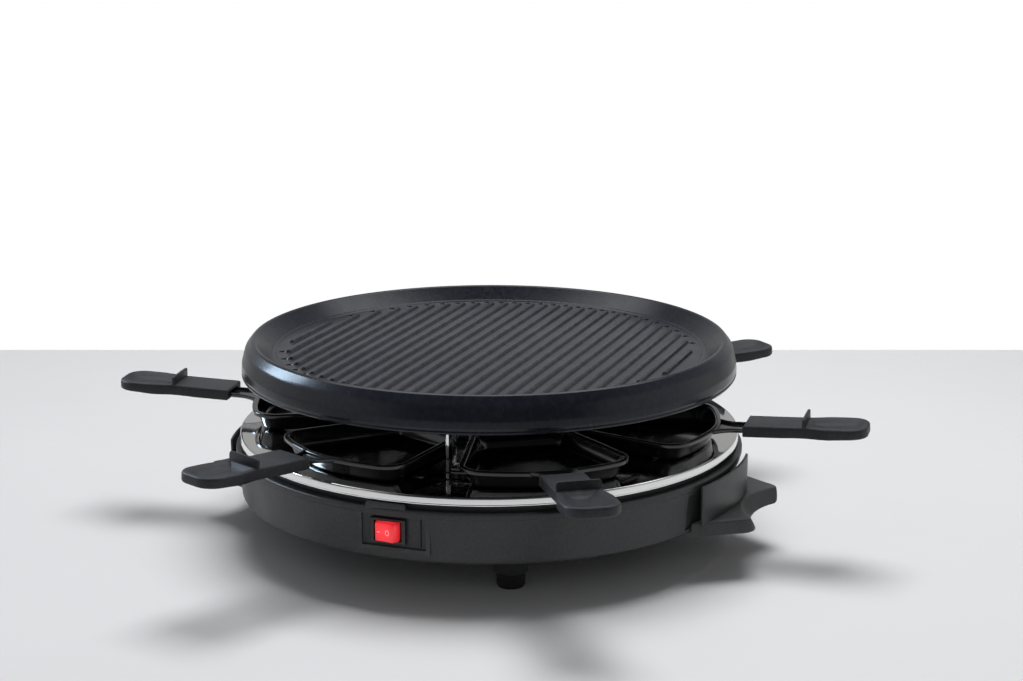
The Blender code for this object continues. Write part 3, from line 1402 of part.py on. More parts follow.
def handle_tilt():
    """Lifts what leads outwards from the pan's rim by the handle's tilt."""
    pivot = Vector((PAN_OUTER_REACH - TONGUE_ROOT, 0.0, TONGUE_BOTTOM))
    turn = Matrix.Rotation(-HANDLE_TILT, 4, "Y")
    return Matrix.Translation(pivot) @ turn @ Matrix.Translation(-pivot)


def lie_along_x(piece):
    """Lays a piece drawn as (across, height) and extruded upwards along X instead."""
    turn = Matrix(((0, 0, 1, 0), (1, 0, 0, 0), (0, 1, 0, 0), (0, 0, 0, 1)))
    move_mesh(piece, turn)


def handle_outline():
    """The handle's plan: a straight sleeve that widens to a grip with a rounded end."""
    flare_start = HANDLE_START + HANDLE_LENGTH * HANDLE_FLARE_START_SHARE
    flare_end = HANDLE_START + HANDLE_LENGTH * HANDLE_FLARE_END_SHARE
    sleeve, grip = HANDLE_SLEEVE_HALF_WIDTH, HANDLE_GRIP_HALF_WIDTH
    right = [
        (HANDLE_START, -sleeve, HANDLE_SLEEVE_RADIUS, 2),
        (flare_start, -sleeve, HANDLE_END_RADIUS, 1),
        (flare_end, -grip, HANDLE_END_RADIUS, 1),
        (HANDLE_TIP, -grip, HANDLE_END_RADIUS, HANDLE_CORNER_STEPS),
    ]
    left = [(x, -y, radius, steps) for x, y, radius, steps in reversed(right)]
    return right + left


def smooth_outline(corners):
    """Rounds both the hollow and the bulging corners of an outline."""
    points = []
    count = len(corners)
    for index, (x, y, radius, steps) in enumerate(corners):
        corner = Vector((x, y))
        before = Vector(corners[index - 1][:2]) - corner
        after = Vector(corners[(index + 1) % count][:2]) - corner
        half = before.angle(after) / 2
        room = min(before.length, after.length) * 0.48
        reach = min(radius / math.tan(half), room)
        start = corner + before.normalized() * reach
        end = corner + after.normalized() * reach
        for step in range(steps + 1):
            share = step / steps
            first = start.lerp(corner, share)
            second = corner.lerp(end, share)
            points.append(tuple(first.lerp(second, share)))
    return points


def pan_handle(shop, material):
    """The plastic handle: a sleeve round the tongue, a stop tab across it and a dished grip."""
    handle = shop.extruded(
        "pan_handle_1", [smooth_outline(handle_outline())], HANDLE_BOTTOM, HANDLE_TOP, material
    )
    round_edges(handle, HANDLE_EDGE)
    half = HANDLE_SLEEVE_HALF_WIDTH - HANDLE_EDGE / 2
    top = HANDLE_TOP + HANDLE_TAB_HEIGHT
    tab_outline = [
        (-half, HANDLE_TOP - SINK * 2),
        (half, HANDLE_TOP - SINK * 2),
        (half, top - HANDLE_TAB_CORNER),
        (half - HANDLE_TAB_CORNER / 3, top - HANDLE_TAB_CORNER / 3),
        (half - HANDLE_TAB_CORNER, top),
        (HANDLE_TAB_CORNER - half, top),
        (HANDLE_TAB_CORNER / 3 - half, top - HANDLE_TAB_CORNER / 3),
        (-half, top - HANDLE_TAB_CORNER),
    ]
    tab_place = HANDLE_START + HANDLE_LENGTH * HANDLE_TAB_SHARE
    tab = shop.extruded("handle_tab", [tab_outline], tab_place, tab_place + HANDLE_TAB_SHEET)
    lie_along_x(tab)
    unite(handle, tab)
    pocket_half = TONGUE_WIDTH / 2 + GAP
    pocket = shop.box(
        "handle_pocket",
        (HANDLE_START - OVERRUN, -pocket_half, TONGUE_BOTTOM - GAP),
        (HANDLE_START + TONGUE_IN_HANDLE + GAP, pocket_half, TONGUE_BOTTOM + TONGUE_RAIL + GAP),
    )
    rivet_hole = shop.cylinder(
        "handle_rivet_hole",
        RIVET_SHANK_RADIUS + GAP,
        (HANDLE_START + RIVET_OFFSET, 0.0, HANDLE_BOTTOM - OVERRUN),
        (HANDLE_START + RIVET_OFFSET, 0.0, HANDLE_TOP - RIVET_COVER + GAP),
        steps=TINY_TURN_STEPS,
    )
    cut(handle, pocket, rivet_hole, handle_dish(shop), grip_lift(shop))
    bake(handle)
    move_mesh(handle, handle_tilt())
    return handle


def grip_lift(shop):
    """The wedge cut from below that thins the handle towards its tip."""
    start = HANDLE_START + HANDLE_LENGTH * HANDLE_TAB_SHARE
    reach = HANDLE_TIP - start
    half = HANDLE_GRIP_HALF_WIDTH + OVERRUN
    outline = [
        (start, HANDLE_BOTTOM - OVERRUN),
        (HANDLE_TIP + OVERRUN, HANDLE_BOTTOM - OVERRUN),
        (HANDLE_TIP + OVERRUN, HANDLE_BOTTOM + HANDLE_GRIP_LIFT),
        (start + reach / 2, HANDLE_BOTTOM + HANDLE_GRIP_LIFT),
        (start, HANDLE_BOTTOM),
    ]
    wedge = shop.extruded("grip_lift", [outline], -half, half)
    move_mesh(wedge, Matrix.Rotation(math.pi / 2, 4, "X"))
    return wedge


def handle_dish(shop):
    """The shallow oval dish for the thumb, cut by a flattened ball."""
    radius = (DISH_WIDTH**2 / 4 + DISH_DEPTH**2) / (2 * DISH_DEPTH)
    form = bmesh.new()
    bmesh.ops.create_uvsphere(form, u_segments=DISH_TURN_STEPS, v_segments=DISH_RINGS, radius=radius)
    mesh = bpy.data.meshes.new("handle_dish")
    form.to_mesh(mesh)
    form.free()
    middle = HANDLE_TIP - DISH_INSET - DISH_LENGTH / 2
    height = HANDLE_TOP - DISH_DEPTH + radius
    mesh.transform(
        Matrix.Translation((middle, 0.0, height)) @ Matrix.Diagonal((DISH_LENGTH / DISH_WIDTH, 1.0, 1.0, 1.0))
    )
    return shop.add("handle_dish", mesh)


def handle_rivet(shop, material):
    """The rivet that holds the handle on the tongue, its head below."""
    head_top = HANDLE_BOTTOM - GAP
    section = [
        (0.0, HANDLE_TOP - RIVET_COVER),
        (RIVET_SHANK_RADIUS, HANDLE_TOP - RIVET_COVER),
        (RIVET_SHANK_RADIUS, head_top),
        (RIVET_HEAD_RADIUS, head_top),
        (RIVET_HEAD_RADIUS - RIVET_HEAD_HEIGHT / 2, head_top - RIVET_HEAD_HEIGHT),
        (0.0, head_top - RIVET_HEAD_HEIGHT),
    ]
    rivet = shop.turned("handle_rivet_1", section, material, TINY_TURN_STEPS, closed=False)
    bake(rivet)
    move_mesh(rivet, handle_tilt() @ Matrix.Translation((HANDLE_START + RIVET_OFFSET, 0.0, 0.0)))
    return rivet


def pan_place(place):
    """The empty's matrix for one pan: its heading and its shift across and along it."""
    heading, across, along = place
    turn = place_at(heading)
    return turn @ Matrix.Translation((along, across, 0.0))


def pan_units(shop, pan_material, handle_material, metal):
    """Six pans, each with its handle and rivet, carried by an empty that slides outwards."""
    sources = {
        "pan": pan_body(shop, pan_material),
        "pan_handle": pan_handle(shop, handle_material),
        "handle_rivet": handle_rivet(shop, metal),
    }
    for kind in ("pan", "pan_handle"):
        bake(sources[kind])
    for source in sources.values():
        shade_round(source)
    for number, place in enumerate(PAN_PLACES, start=1):
        slide = bpy.data.objects.new(f"pan_slide_{number}", None)
        shop.parts.objects.link(slide)
        slide.matrix_world = pan_place(place)
        for kind, source in sources.items():
            item = source
            if number > 1:
                item = bpy.data.objects.new(f"{kind}_{number}", source.data)
                shop.parts.objects.link(item)
            item.parent = slide


# Switch
def switch_frame(shop, material):
    """The switch's bezel and body, open in front for the rocker, with pivot sockets above and below
    and two blade terminals behind."""
    half_width, half_height = BEZEL_WIDTH / 2, BEZEL_HEIGHT / 2
    x, z = SWITCH_OFFSET, SWITCH_HEIGHT
    frame = shop.box(
        "switch_frame",
        (x - half_width, -BEZEL_FACE, z - half_height),
        (x + half_width, -BEZEL_BACK, z + half_height),
        material,
    )
    round_edges(frame, BEZEL_EDGE)
    back = SWITCH_BODY_DEPTH - BEZEL_BACK
    body = shop.box(
        "switch_body",
        (x - SWITCH_BODY_WIDTH / 2, -BEZEL_BACK - SINK, z - SWITCH_BODY_HEIGHT / 2),
        (x + SWITCH_BODY_WIDTH / 2, back, z + SWITCH_BODY_HEIGHT / 2),
    )
    window = shop.box(
        "switch_window",
        (x - SWITCH_WINDOW_WIDTH / 2, -BEZEL_FACE - OVERRUN, z - SWITCH_WINDOW_HEIGHT / 2),
        (x + SWITCH_WINDOW_WIDTH / 2, back - SWITCH_BODY_BACK, z + SWITCH_WINDOW_HEIGHT / 2),
    )
    socket_half = SWITCH_WINDOW_HEIGHT / 2 + ROCKER_PIN_LENGTH
    socket = shop.cylinder(
        "rocker_socket",
        ROCKER_PIN_RADIUS + GAP,
        (x, -ROCKER_PIVOT, z - socket_half),
        (x, -ROCKER_PIVOT, z + socket_half),
        steps=TINY_TURN_STEPS,
    )
    unite(frame, body)
    cut(frame, window, socket)
    for side in (-1, 1):
        middle = x + side * BLADE_TERMINAL_PITCH / 2
        blade = shop.box(
            f"blade_terminal_{'left' if side < 0 else 'right'}",
            (middle - BLADE_TERMINAL_SHEET / 2, back - SINK, z - BLADE_TERMINAL_WIDTH / 2),
            (
                middle + BLADE_TERMINAL_SHEET / 2,
                back + BLADE_TERMINAL_LENGTH,
                z + BLADE_TERMINAL_WIDTH / 2,
            ),
        )
        unite(frame, blade)
    return frame


def switch_rocker(shop, material):
    """The rocker: a shallow V face with sloping ends, on two pivot pins, hollow behind for the
    lamp. Its origin is on the pivot axis, and it rests in the ON position, pressed at the left."""
    outline = [
        (-ROCKER_HALF_WIDTH, -ROCKER_WAIST),
        (-ROCKER_CREST_HALF_WIDTH, -ROCKER_CREST),
        (0.0, -ROCKER_VALLEY),
        (ROCKER_CREST_HALF_WIDTH, -ROCKER_CREST),
        (ROCKER_HALF_WIDTH, -ROCKER_WAIST),
        (ROCKER_BACK_HALF_WIDTH, ROCKER_BACK),
        (-ROCKER_BACK_HALF_WIDTH, ROCKER_BACK),
    ]
    half = ROCKER_HEIGHT / 2
    rocker = shop.extruded("switch_rocker", [outline], -half, half, material)
    round_edges(rocker, ROCKER_EDGE)
    pocket = shop.box(
        "lamp_pocket",
        (-LAMP_POCKET_HALF_WIDTH, ROCKER_BACK - LAMP_POCKET_DEPTH, -LAMP_POCKET_HEIGHT / 2),
        (LAMP_POCKET_HALF_WIDTH, ROCKER_BACK + OVERRUN, LAMP_POCKET_HEIGHT / 2),
    )
    pin_half = SWITCH_WINDOW_HEIGHT / 2 + ROCKER_PIN_LENGTH - GAP
    for side in (-1, 1):
        pin = shop.cylinder(
            f"rocker_pin_{'low' if side < 0 else 'high'}",
            ROCKER_PIN_RADIUS,
            (0.0, 0.0, side * (half - SINK)),
            (0.0, 0.0, side * pin_half),
            steps=TINY_TURN_STEPS,
        )
        unite(rocker, pin)
    cut(rocker, pocket)
    bake(rocker)
    rocker.location = (SWITCH_OFFSET, -ROCKER_PIVOT, SWITCH_HEIGHT)
    rocker.rotation_euler.z = -ROCKER_ON_TILT
    return rocker


def indicator_lamp(shop, material):
    """The small lamp that stands behind the rocker on a stalk from the switch body's back wall."""
    lamp_y = LAMP_SETBACK - ROCKER_PIVOT
    half = LAMP_LENGTH / 2
    low = (SWITCH_OFFSET, lamp_y, SWITCH_HEIGHT - half)
    high = (SWITCH_OFFSET, lamp_y, SWITCH_HEIGHT + half)
    lamp = shop.cylinder("indicator_lamp", LAMP_RADIUS, low, high, material, TINY_TURN_STEPS)
    wall = SWITCH_BODY_DEPTH - BEZEL_BACK - SWITCH_BODY_BACK - GAP
    stalk = shop.cylinder(
        "lamp_stalk",
        LAMP_STALK_RADIUS,
        (SWITCH_OFFSET, lamp_y, SWITCH_HEIGHT),
        (SWITCH_OFFSET, wall, SWITCH_HEIGHT),
        steps=TINY_TURN_STEPS,
    )
    unite(lamp, stalk)
    return lamp


# Electrical pieces inside the base
def thermal_cutout(shop, material):
    """The stepped round cut-out that sits against the deck from below."""
    top = DECK_UNDERSIDE - GAP
    section = [
        (0.0, top),
        (CUTOUT_RADIUS, top),
        (CUTOUT_RADIUS, top - CUTOUT_STEP),
        (CUTOUT_RADIUS - CUTOUT_STEP, top - CUTOUT_STEP),
        (CUTOUT_RADIUS - CUTOUT_STEP, top - CUTOUT_HEIGHT),
        (0.0, top - CUTOUT_HEIGHT),
    ]
    cutout = shop.turned("thermal_cutout", section, material, SMALL_TURN_STEPS, closed=False)
    cutout.location = polar(CUTOUT_CIRCLE, CUTOUT_AZIMUTH)
    return cutout


def terminal_block(shop, material):
    """The ceramic block that holds the ends of the element's leads under the deck."""
    top = DECK_UNDERSIDE - GAP
    middle = HEATER_LOOP_RADIUS
    block = shop.box(
        "terminal_block",
        (middle - BLOCK_DEPTH / 2, -BLOCK_WIDTH / 2, top - BLOCK_HEIGHT),
        (middle + BLOCK_DEPTH / 2, BLOCK_WIDTH / 2, top),
        material,
    )
    block.matrix_world = place_at(TERMINAL_AZIMUTH)
    for index, (radius, azimuth) in enumerate(lead_places()):
        hole = shop.cylinder(
            f"block_hole_{index}",
            HEATER_TUBE_RADIUS + GAP,
            polar(radius, azimuth, top - BLOCK_HEIGHT - OVERRUN),
            polar(radius, azimuth, top + OVERRUN),
            steps=SMALL_TURN_STEPS,
        )
        cut(block, hole)
    return block


def cord_inlet(shop, material):
    """The moulded bush in the back wall that a cord would pass through."""
    wall_out = RIM_RADIUS
    wall_in = COLLAR_RADIUS - WALL
    section = [
        (INLET_NOSE_RADIUS, wall_out + INLET_NOSE),
        (INLET_FLANGE_RADIUS, wall_out + INLET_FLANGE),
        (INLET_FLANGE_RADIUS, wall_out + GAP),
        (INLET_HOLE_RADIUS - GAP, wall_out + GAP),
        (INLET_HOLE_RADIUS - GAP, wall_in),
        (INLET_BORE_RADIUS, wall_in),
        (INLET_BORE_RADIUS, wall_out + INLET_NOSE),
    ]
    bush = shop.turned("cord_inlet_bush", section, material, SMALL_TURN_STEPS)
    bush.location = Vector((0.0, 0.0, INLET_HEIGHT))
    bush.rotation_euler = (-math.pi / 2, 0.0, INLET_AZIMUTH - math.pi)
    return bush


# Fasteners
def all_screws(shop, material):
    """Screws of the bottom cover, the posts and the carry handles."""
    for index, azimuth in enumerate(cover_screw_places()):
        point = polar(COVER_SCREW_CIRCLE, azimuth, FLOOR_CLEARANCE)
        place_screw(shop, f"cover_screw_{index + 1}", point, (0, 0, -1), COVER_SCREW_LENGTH, material)
    for index in range(POST_COUNT):
        radius, azimuth = post_screw_place(index)
        point = polar(radius, azimuth, POST_FOOT + POST_TAB_SHEET)
        length = POST_SCREW_LENGTH
        place_screw(shop, f"post_screw_{index + 1}", point, (0, 0, 1), length, material)
    for name, azimuth in carry_screw_places():
        inward = -polar(1.0, azimuth)
        point = polar(CARRY_PAD_FACE, azimuth, CARRY_SCREW_LEVEL)
        place_screw(shop, name, point, inward, HANDLE_SCREW_LENGTH, material)


def main():
    clear_scene()
    shop = Workshop()
    cast = make_material("cast_coating", (0.020, 0.021, 0.026), 0.32)
    plastic = make_material("base_plastic", (0.040, 0.042, 0.044), 0.62)
    handle_plastic = make_material("handle_plastic", (0.030, 0.032, 0.036), 0.5)
    polished = make_material("polished_steel", (0.82, 0.82, 0.84), 0.06, 1.0)
    bare_steel = make_material("bare_steel", (0.55, 0.55, 0.56), 0.35, 1.0)
    coating = make_material("pan_coating", (0.012, 0.012, 0.013), 0.22)
    element = make_material("element_steel", (0.20, 0.19, 0.18), 0.5, 1.0)
    rubber = make_material("foot_rubber", (0.015, 0.015, 0.016), 0.8)
    red = make_material("lit_red", (0.9, 0.03, 0.02), 0.25, 0.0, 1.5)
    black = make_material("switch_black", (0.02, 0.02, 0.022), 0.4)
    ceramic = make_material("ceramic", (0.8, 0.78, 0.72), 0.5)

    grill_plate(shop, cast)
    heating_element(shop, element)
    for index in range(POST_COUNT - 1):
        strip_post(shop, index, polished)
    terminal_post(shop, polished)
    reflector_plate(shop, polished)
    base_housing(shop, plastic)
    deck_plate(shop, plastic)
    bottom_cover(shop, plastic)
    rubber_feet(shop, rubber)
    for side, azimuth in CARRY_AZIMUTHS.items():
        carry_handle(shop, side, azimuth, plastic)
    pan_units(shop, coating, handle_plastic, bare_steel)
    switch_frame(shop, black)
    switch_rocker(shop, red)
    indicator_lamp(shop, red)
    thermal_cutout(shop, bare_steel)
    terminal_block(shop, ceramic)
    cord_inlet(shop, black)
    all_screws(shop, bare_steel)


main()
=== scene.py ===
"""Raclette grill for six: its looks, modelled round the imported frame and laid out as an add-on."""

import json
import math

import bmesh
import bpy
from mathutils import Matrix, Vector


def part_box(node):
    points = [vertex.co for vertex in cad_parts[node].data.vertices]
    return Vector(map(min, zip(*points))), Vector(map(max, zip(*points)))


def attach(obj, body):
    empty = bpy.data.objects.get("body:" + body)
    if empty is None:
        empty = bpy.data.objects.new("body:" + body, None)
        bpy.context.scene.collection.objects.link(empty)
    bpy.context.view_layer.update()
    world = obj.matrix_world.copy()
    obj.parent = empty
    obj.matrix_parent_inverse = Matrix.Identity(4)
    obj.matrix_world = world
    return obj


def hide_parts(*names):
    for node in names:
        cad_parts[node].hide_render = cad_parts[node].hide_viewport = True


bl_info = {
    "name": "Raclette grill",
    "version": (1, 0, 0),
    "blender": (4, 5, 0),
    "location": "3D View > Sidebar > Raclette",
    "description": "Builds a round table raclette grill with six pans round its packed frame",
    "category": "Object",
}

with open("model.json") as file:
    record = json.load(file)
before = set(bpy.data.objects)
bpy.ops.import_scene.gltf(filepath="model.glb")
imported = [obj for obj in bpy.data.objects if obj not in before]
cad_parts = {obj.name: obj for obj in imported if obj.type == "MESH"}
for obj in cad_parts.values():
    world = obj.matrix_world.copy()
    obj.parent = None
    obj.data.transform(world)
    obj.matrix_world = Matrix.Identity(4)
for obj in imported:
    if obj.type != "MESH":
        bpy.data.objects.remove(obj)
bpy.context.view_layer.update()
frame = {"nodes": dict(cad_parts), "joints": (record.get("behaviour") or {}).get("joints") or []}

MM = 0.001
DEG = math.pi / 180
MERGE = 0.002 * MM
OVERRUN = 1.0 * MM
TURN_STEPS = 192
SMALL_STEPS = 48
PAN_COUNT = 6


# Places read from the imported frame
def low(node):
    """The lowest corner of a CAD node's box."""
    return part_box(node)[0]


def high(node):
    """The highest corner of a CAD node's box."""
    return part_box(node)[1]


def middle(node):
    """The middle of a CAD node's box."""
    return (low(node) + high(node)) / 2


def slide_angle(number):
    """The angle from +X of the direction in which a pan slides out."""
    for joint in frame["joints"]:
        if joint["name"] == f"pan_{number}_slide":
            return math.atan2(joint["axis"][1], joint["axis"][0])
    raise RuntimeError(f"the frame has no joint pan_{number}_slide")


def polar(radius, angle, height=0.0):
    """The point at an angle from +X."""
    return Vector((radius * math.cos(angle), radius * math.sin(angle), height))


def at(node):
    """The move to the upright line through a CAD node's middle."""
    return Matrix.Translation((middle(node).x, middle(node).y, 0.0))


# Choosing and shaping, as by hand
def clear_choice():
    """Leaves nothing selected, the frame's nodes included."""
    bpy.ops.object.select_all(action="DESELECT")


def take(piece):
    """Makes one piece the selected and active one."""
    clear_choice()
    piece.select_set(True)
    bpy.context.view_layer.objects.active = piece


def choose_all():
    bpy.ops.mesh.select_all(action="SELECT")


def enter(piece):
    """Opens a piece for editing with all of it chosen."""
    take(piece)
    bpy.ops.object.mode_set(mode="EDIT")
    choose_all()


def leave():
    bpy.ops.object.mode_set(mode="OBJECT")


def named(name):
    """Names the piece that an add operator has just made, and puts its place in its mesh."""
    piece = bpy.context.object
    piece.name = name
    piece.data.name = name
    take(piece)
    bpy.ops.object.transform_apply(location=True, rotation=True, scale=True)
    return piece


def choose(kind, test):
    """Selects the vertices whose place passes, or the edges or faces that pass with their middle."""
    bpy.ops.mesh.select_mode(type=kind)
    bpy.ops.mesh.select_all(action="DESELECT")
    mesh = bpy.context.object.data
    form = bmesh.from_edit_mesh(mesh)
    form.normal_update()
    if kind == "VERT":
        chosen = [point for point in form.verts if test(point.co)]
    else:
        chosen = [
            item for item in (form.edges if kind == "EDGE" else form.faces)
            if test(sum((point.co for point in item.verts), Vector()) / len(item.verts), item)
        ]
    for item in chosen:
        item.select_set(True)
    form.select_flush_mode()
    bmesh.update_edit_mesh(mesh)
    if not chosen:
        raise RuntimeError(f"nothing to select on {bpy.context.object.name}")


def shift(x=0.0, y=0.0, z=0.0):
    bpy.ops.transform.translate(value=(x, y, z))


def widen(x=1.0, y=1.0, z=1.0, about=(0.0, 0.0, 0.0)):
    bpy.ops.transform.resize(value=(x, y, z), center_override=about)


def extrude_edges(height):
    bpy.ops.mesh.extrude_edges_move(TRANSFORM_OT_translate={"value": (0.0, 0.0, height)})


def round_chosen(width, steps, what="EDGES"):
    bpy.ops.mesh.bevel(offset_type="OFFSET", offset=width, segments=steps, profile=0.5, affect=what)


def round_edges(test, width, steps):
    """Rounds the edges that pass."""
    choose("EDGE", test)
    round_chosen(width, steps)


def sharp(edge, angle=50 * DEG):
    """Whether an edge stands between two faces that turn by more than the angle."""
    return len(edge.link_faces) == 2 and edge.calc_face_angle(0.0) > angle


def face_outwards():
    choose_all()
    bpy.ops.mesh.remove_doubles(threshold=MERGE)
    bpy.ops.mesh.normals_make_consistent(inside=False)


def trim(*planes):
    """Cuts the open piece at each plane, drops what lies beyond it and fills the cut."""
    for place, normal in planes:
        choose_all()
        bpy.ops.mesh.bisect(plane_co=place, plane_no=normal, clear_outer=True, use_fill=True)


def smooth(piece, angle=32 * DEG):
    take(piece)
    bpy.ops.object.shade_smooth_by_angle(angle=angle)


def put(piece, matrix):
    """Moves a piece and puts its new place in its mesh."""
    piece.matrix_world = matrix
    take(piece)
    bpy.ops.object.transform_apply(location=True, rotation=True, scale=True)


def copy_of(piece, name):
    """A copy with its own mesh."""
    take(piece)
    bpy.ops.object.duplicate(linked=False)
    copy = bpy.context.object
    copy.name = name
    copy.data.name = name
    return copy


def join(piece, *others):
    take(piece)
    for other in others:
        other.select_set(True)
    bpy.ops.object.join()


def remove(*pieces):
    for piece in pieces:
        bpy.data.objects.remove(piece, do_unlink=True)


def modify(piece, kind, **settings):
    """Adds a modifier and applies it."""
    modifier = piece.modifiers.new(kind.lower(), kind)
    for key, value in settings.items():
        setattr(modifier, key, value)
    take(piece)
    bpy.ops.object.modifier_apply(modifier=modifier.name)


def cut(piece, *tools, operation="DIFFERENCE"):
    """Cuts the tools out of the piece and removes them."""
    for tool in tools:
        modify(piece, "BOOLEAN", operation=operation, solver="EXACT", object=tool)
        remove(tool)


def thicken(piece, sheet, offset):
    modify(piece, "SOLIDIFY", thickness=sheet, offset=offset, use_even_offset=True)


def round_by_angle(piece, width, steps=2, angle=40 * DEG):
    """Rounds every edge that turns by more than the angle."""
    modify(piece, "BEVEL", width=width, segments=steps, limit_method="ANGLE", angle_limit=angle)


# Making pieces
def profile(*parts):
    """A section's corners. Each part is an anchor's radius and height, then rows in millimetres
    from it: across, up and, for a rounded corner, its rounding."""
    return [
        (radius + across * MM, height + up * MM, *(value * MM for value in rounding))
        for radius, height, *rows in parts
        for across, up, *rounding in rows
    ]


def softened(corners, steps=4):
    """A section's points, with each corner that has a third number rounded by that radius."""
    points = []
    for index, corner in enumerate(corners):
        here = Vector(corner[:2])
        if len(corner) < 3:
            points.append(tuple(here))
            continue
        before = Vector(corners[index - 1][:2]) - here
        after = Vector(corners[(index + 1) % len(corners)][:2]) - here
        half = before.angle(after) / 2
        reach = min(corner[2] / math.tan(half), before.length * 0.49, after.length * 0.49)
        radius = reach * math.tan(half)
        centre = here + (before.normalized() + after.normalized()).normalized() * (radius / math.sin(half))
        start = here + before.normalized() * reach - centre
        end = here + after.normalized() * reach - centre
        turn = math.atan2(start.x * end.y - start.y * end.x, start.dot(end))
        for step in range(steps + 1):
            points.append(tuple(centre + Matrix.Rotation(turn * step / steps, 2) @ start))
    return points


def turned(name, corners, steps=TURN_STEPS, capped=False, rounding=4):
    """Draws a ring and extrudes it along a section of (radius, height, rounding) corners. The
    section closes on itself, or its first and last rings are capped."""
    section = softened(corners, rounding)
    radius, height = section[0]
    clear_choice()
    bpy.ops.mesh.primitive_circle_add(vertices=steps, radius=radius, location=(0.0, 0.0, height))
    piece = named(name)
    enter(piece)
    for next_radius, next_height in section[1:] + ([] if capped else section[:1]):
        extrude_edges(next_height - height)
        widen(next_radius / radius, next_radius / radius)
        radius, height = next_radius, next_height
    choose_all()
    bpy.ops.mesh.remove_doubles(threshold=MERGE)
    if capped:
        bpy.ops.mesh.fill_holes(sides=0)
    face_outwards()
    leave()
    return piece


def ring(name, inner, outer, bottom, top):
    """A turned ring with a rectangular section."""
    return turned(name, [(inner, bottom), (outer, bottom), (outer, top), (inner, top)])


def block(name, lowest, highest):
    """A rectangular block, the start of a piece or a cutter."""
    lowest, highest = Vector(lowest), Vector(highest)
    clear_choice()
    bpy.ops.mesh.primitive_cube_add(size=1.0, location=(lowest + highest) / 2, scale=highest - lowest)
    return named(name)


def flat_grid(name, columns, rows, along, across, level=0.0):
    """A flat grid between two places along X and two across on Y, left open for editing."""
    centre = (sum(along) / 2, sum(across) / 2, level)
    clear_choice()
    bpy.ops.mesh.primitive_grid_add(x_subdivisions=columns, y_subdivisions=rows, size=1.0, location=centre)
    piece = named(name)
    enter(piece)
    widen(along[1] - along[0], across[1] - across[0], 1.0, about=centre)
    return piece


def sector(piece, start, end, centre_angle=0.0):
    """Trims a turned piece to the part between two angles about a centre angle."""
    enter(piece)
    trim(
        ((0, 0, 0), -polar(1.0, centre_angle)),
        ((0, 0, 0), polar(1.0, centre_angle + start - math.pi / 2)),
        ((0, 0, 0), polar(1.0, centre_angle + end + math.pi / 2)),
    )
    leave()


def dressed_copy(node, name, width=0.0, steps=2):
    """A merged copy of a CAD node, with its edges rounded if a width is given."""
    piece = copy_of(frame["nodes"][node], name)
    for key in list(piece.keys()):
        del piece[key]
    piece.parent = None
    piece.hide_render = False
    enter(piece)
    bpy.ops.mesh.remove_doubles(threshold=MERGE)
    bpy.ops.mesh.dissolve_limited(angle_limit=0.6 * DEG)
    leave()
    if width:
        round_by_angle(piece, width, steps, 35 * DEG)
    return piece


def dress(piece, body, slot, *nodes, finish=None):
    """Gives a finished piece the material of its slot, or of the finish named instead, puts it in its body and hides
    the CAD nodes it stands for.
    """
    piece.data.materials.clear()
    piece.data.materials.append(finish_of(finish or slot))
    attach(piece, body)
    if nodes:
        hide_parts(*nodes)


# Sizes and colours that a user would change
def length(name, description, default, lowest=0.0):
    """A length whose default is given in millimetres."""
    return bpy.props.FloatProperty(
        name=name, description=description, default=default * MM, min=lowest, unit="LENGTH", precision=5
    )


def angle_of(name, description, default):
    return bpy.props.FloatProperty(name=name, description=description, default=default, subtype="ANGLE")


def share(name, description, default):
    return bpy.props.FloatProperty(
        name=name, description=description, default=default, min=0.0, max=1.0, subtype="FACTOR"
    )


def colour(name, description, default):
    return bpy.props.FloatVectorProperty(
        name=name, description=description, default=default, size=3, min=0.0, max=1.0, subtype="COLOR"
    )


class PlateSizes(bpy.types.PropertyGroup):
    radius: length("Radius", "Skirt radius of the grill plate", high("grill_plate").y / MM)
    top: length("Top", "Level of the rim's crest", high("grill_plate").z / MM)
    bottom: length("Bottom", "Level of the skirt's lower edge", low("grill_plate").z / MM)
    floor_radius: length("Floor radius", "Radius of the flat floor", 130.0)
    floor_top: length("Floor level", "Level of the floor between the ribs", 117.7)
    floor: length("Floor thickness", "Thickness of the cast floor", 4.0)
    crest: length("Crest radius", "Radius of the rim's crest", 142.8)
    shoulder: length("Shoulder radius", "Radius where the skirt begins", 148.0)
    shoulder_drop: length("Shoulder drop", "Fall from the crest to the shoulder", 5.2)
    wall: length("Skirt wall", "Thickness of the skirt", 3.0)
    post_radius: length("Post radius", "Outer radius of the posts under the locating rib", 108.0)
    rib_pitch: length("Rib pitch", "Distance between the parallel ribs", 8.8)
    rib_height: length("Rib height", "Height of a rib", 1.6)
    rib_foot: length("Rib foot", "Width of a rib at its foot", 3.6)
    rib_crest: length("Rib crest", "Width of a rib at its crest", 1.9)
    rib_reach: length("Rib reach", "Radius that the ribs' ends keep to", 122.5)
    dimple: length("Dimple radius", "Radius of the drain dimples", 2.2)
    dimple_depth: length("Dimple depth", "Depth of the drain dimples", 1.2)
    dimple_circle: length("Dimple circle", "Radius on which the dimples lie", 125.6)


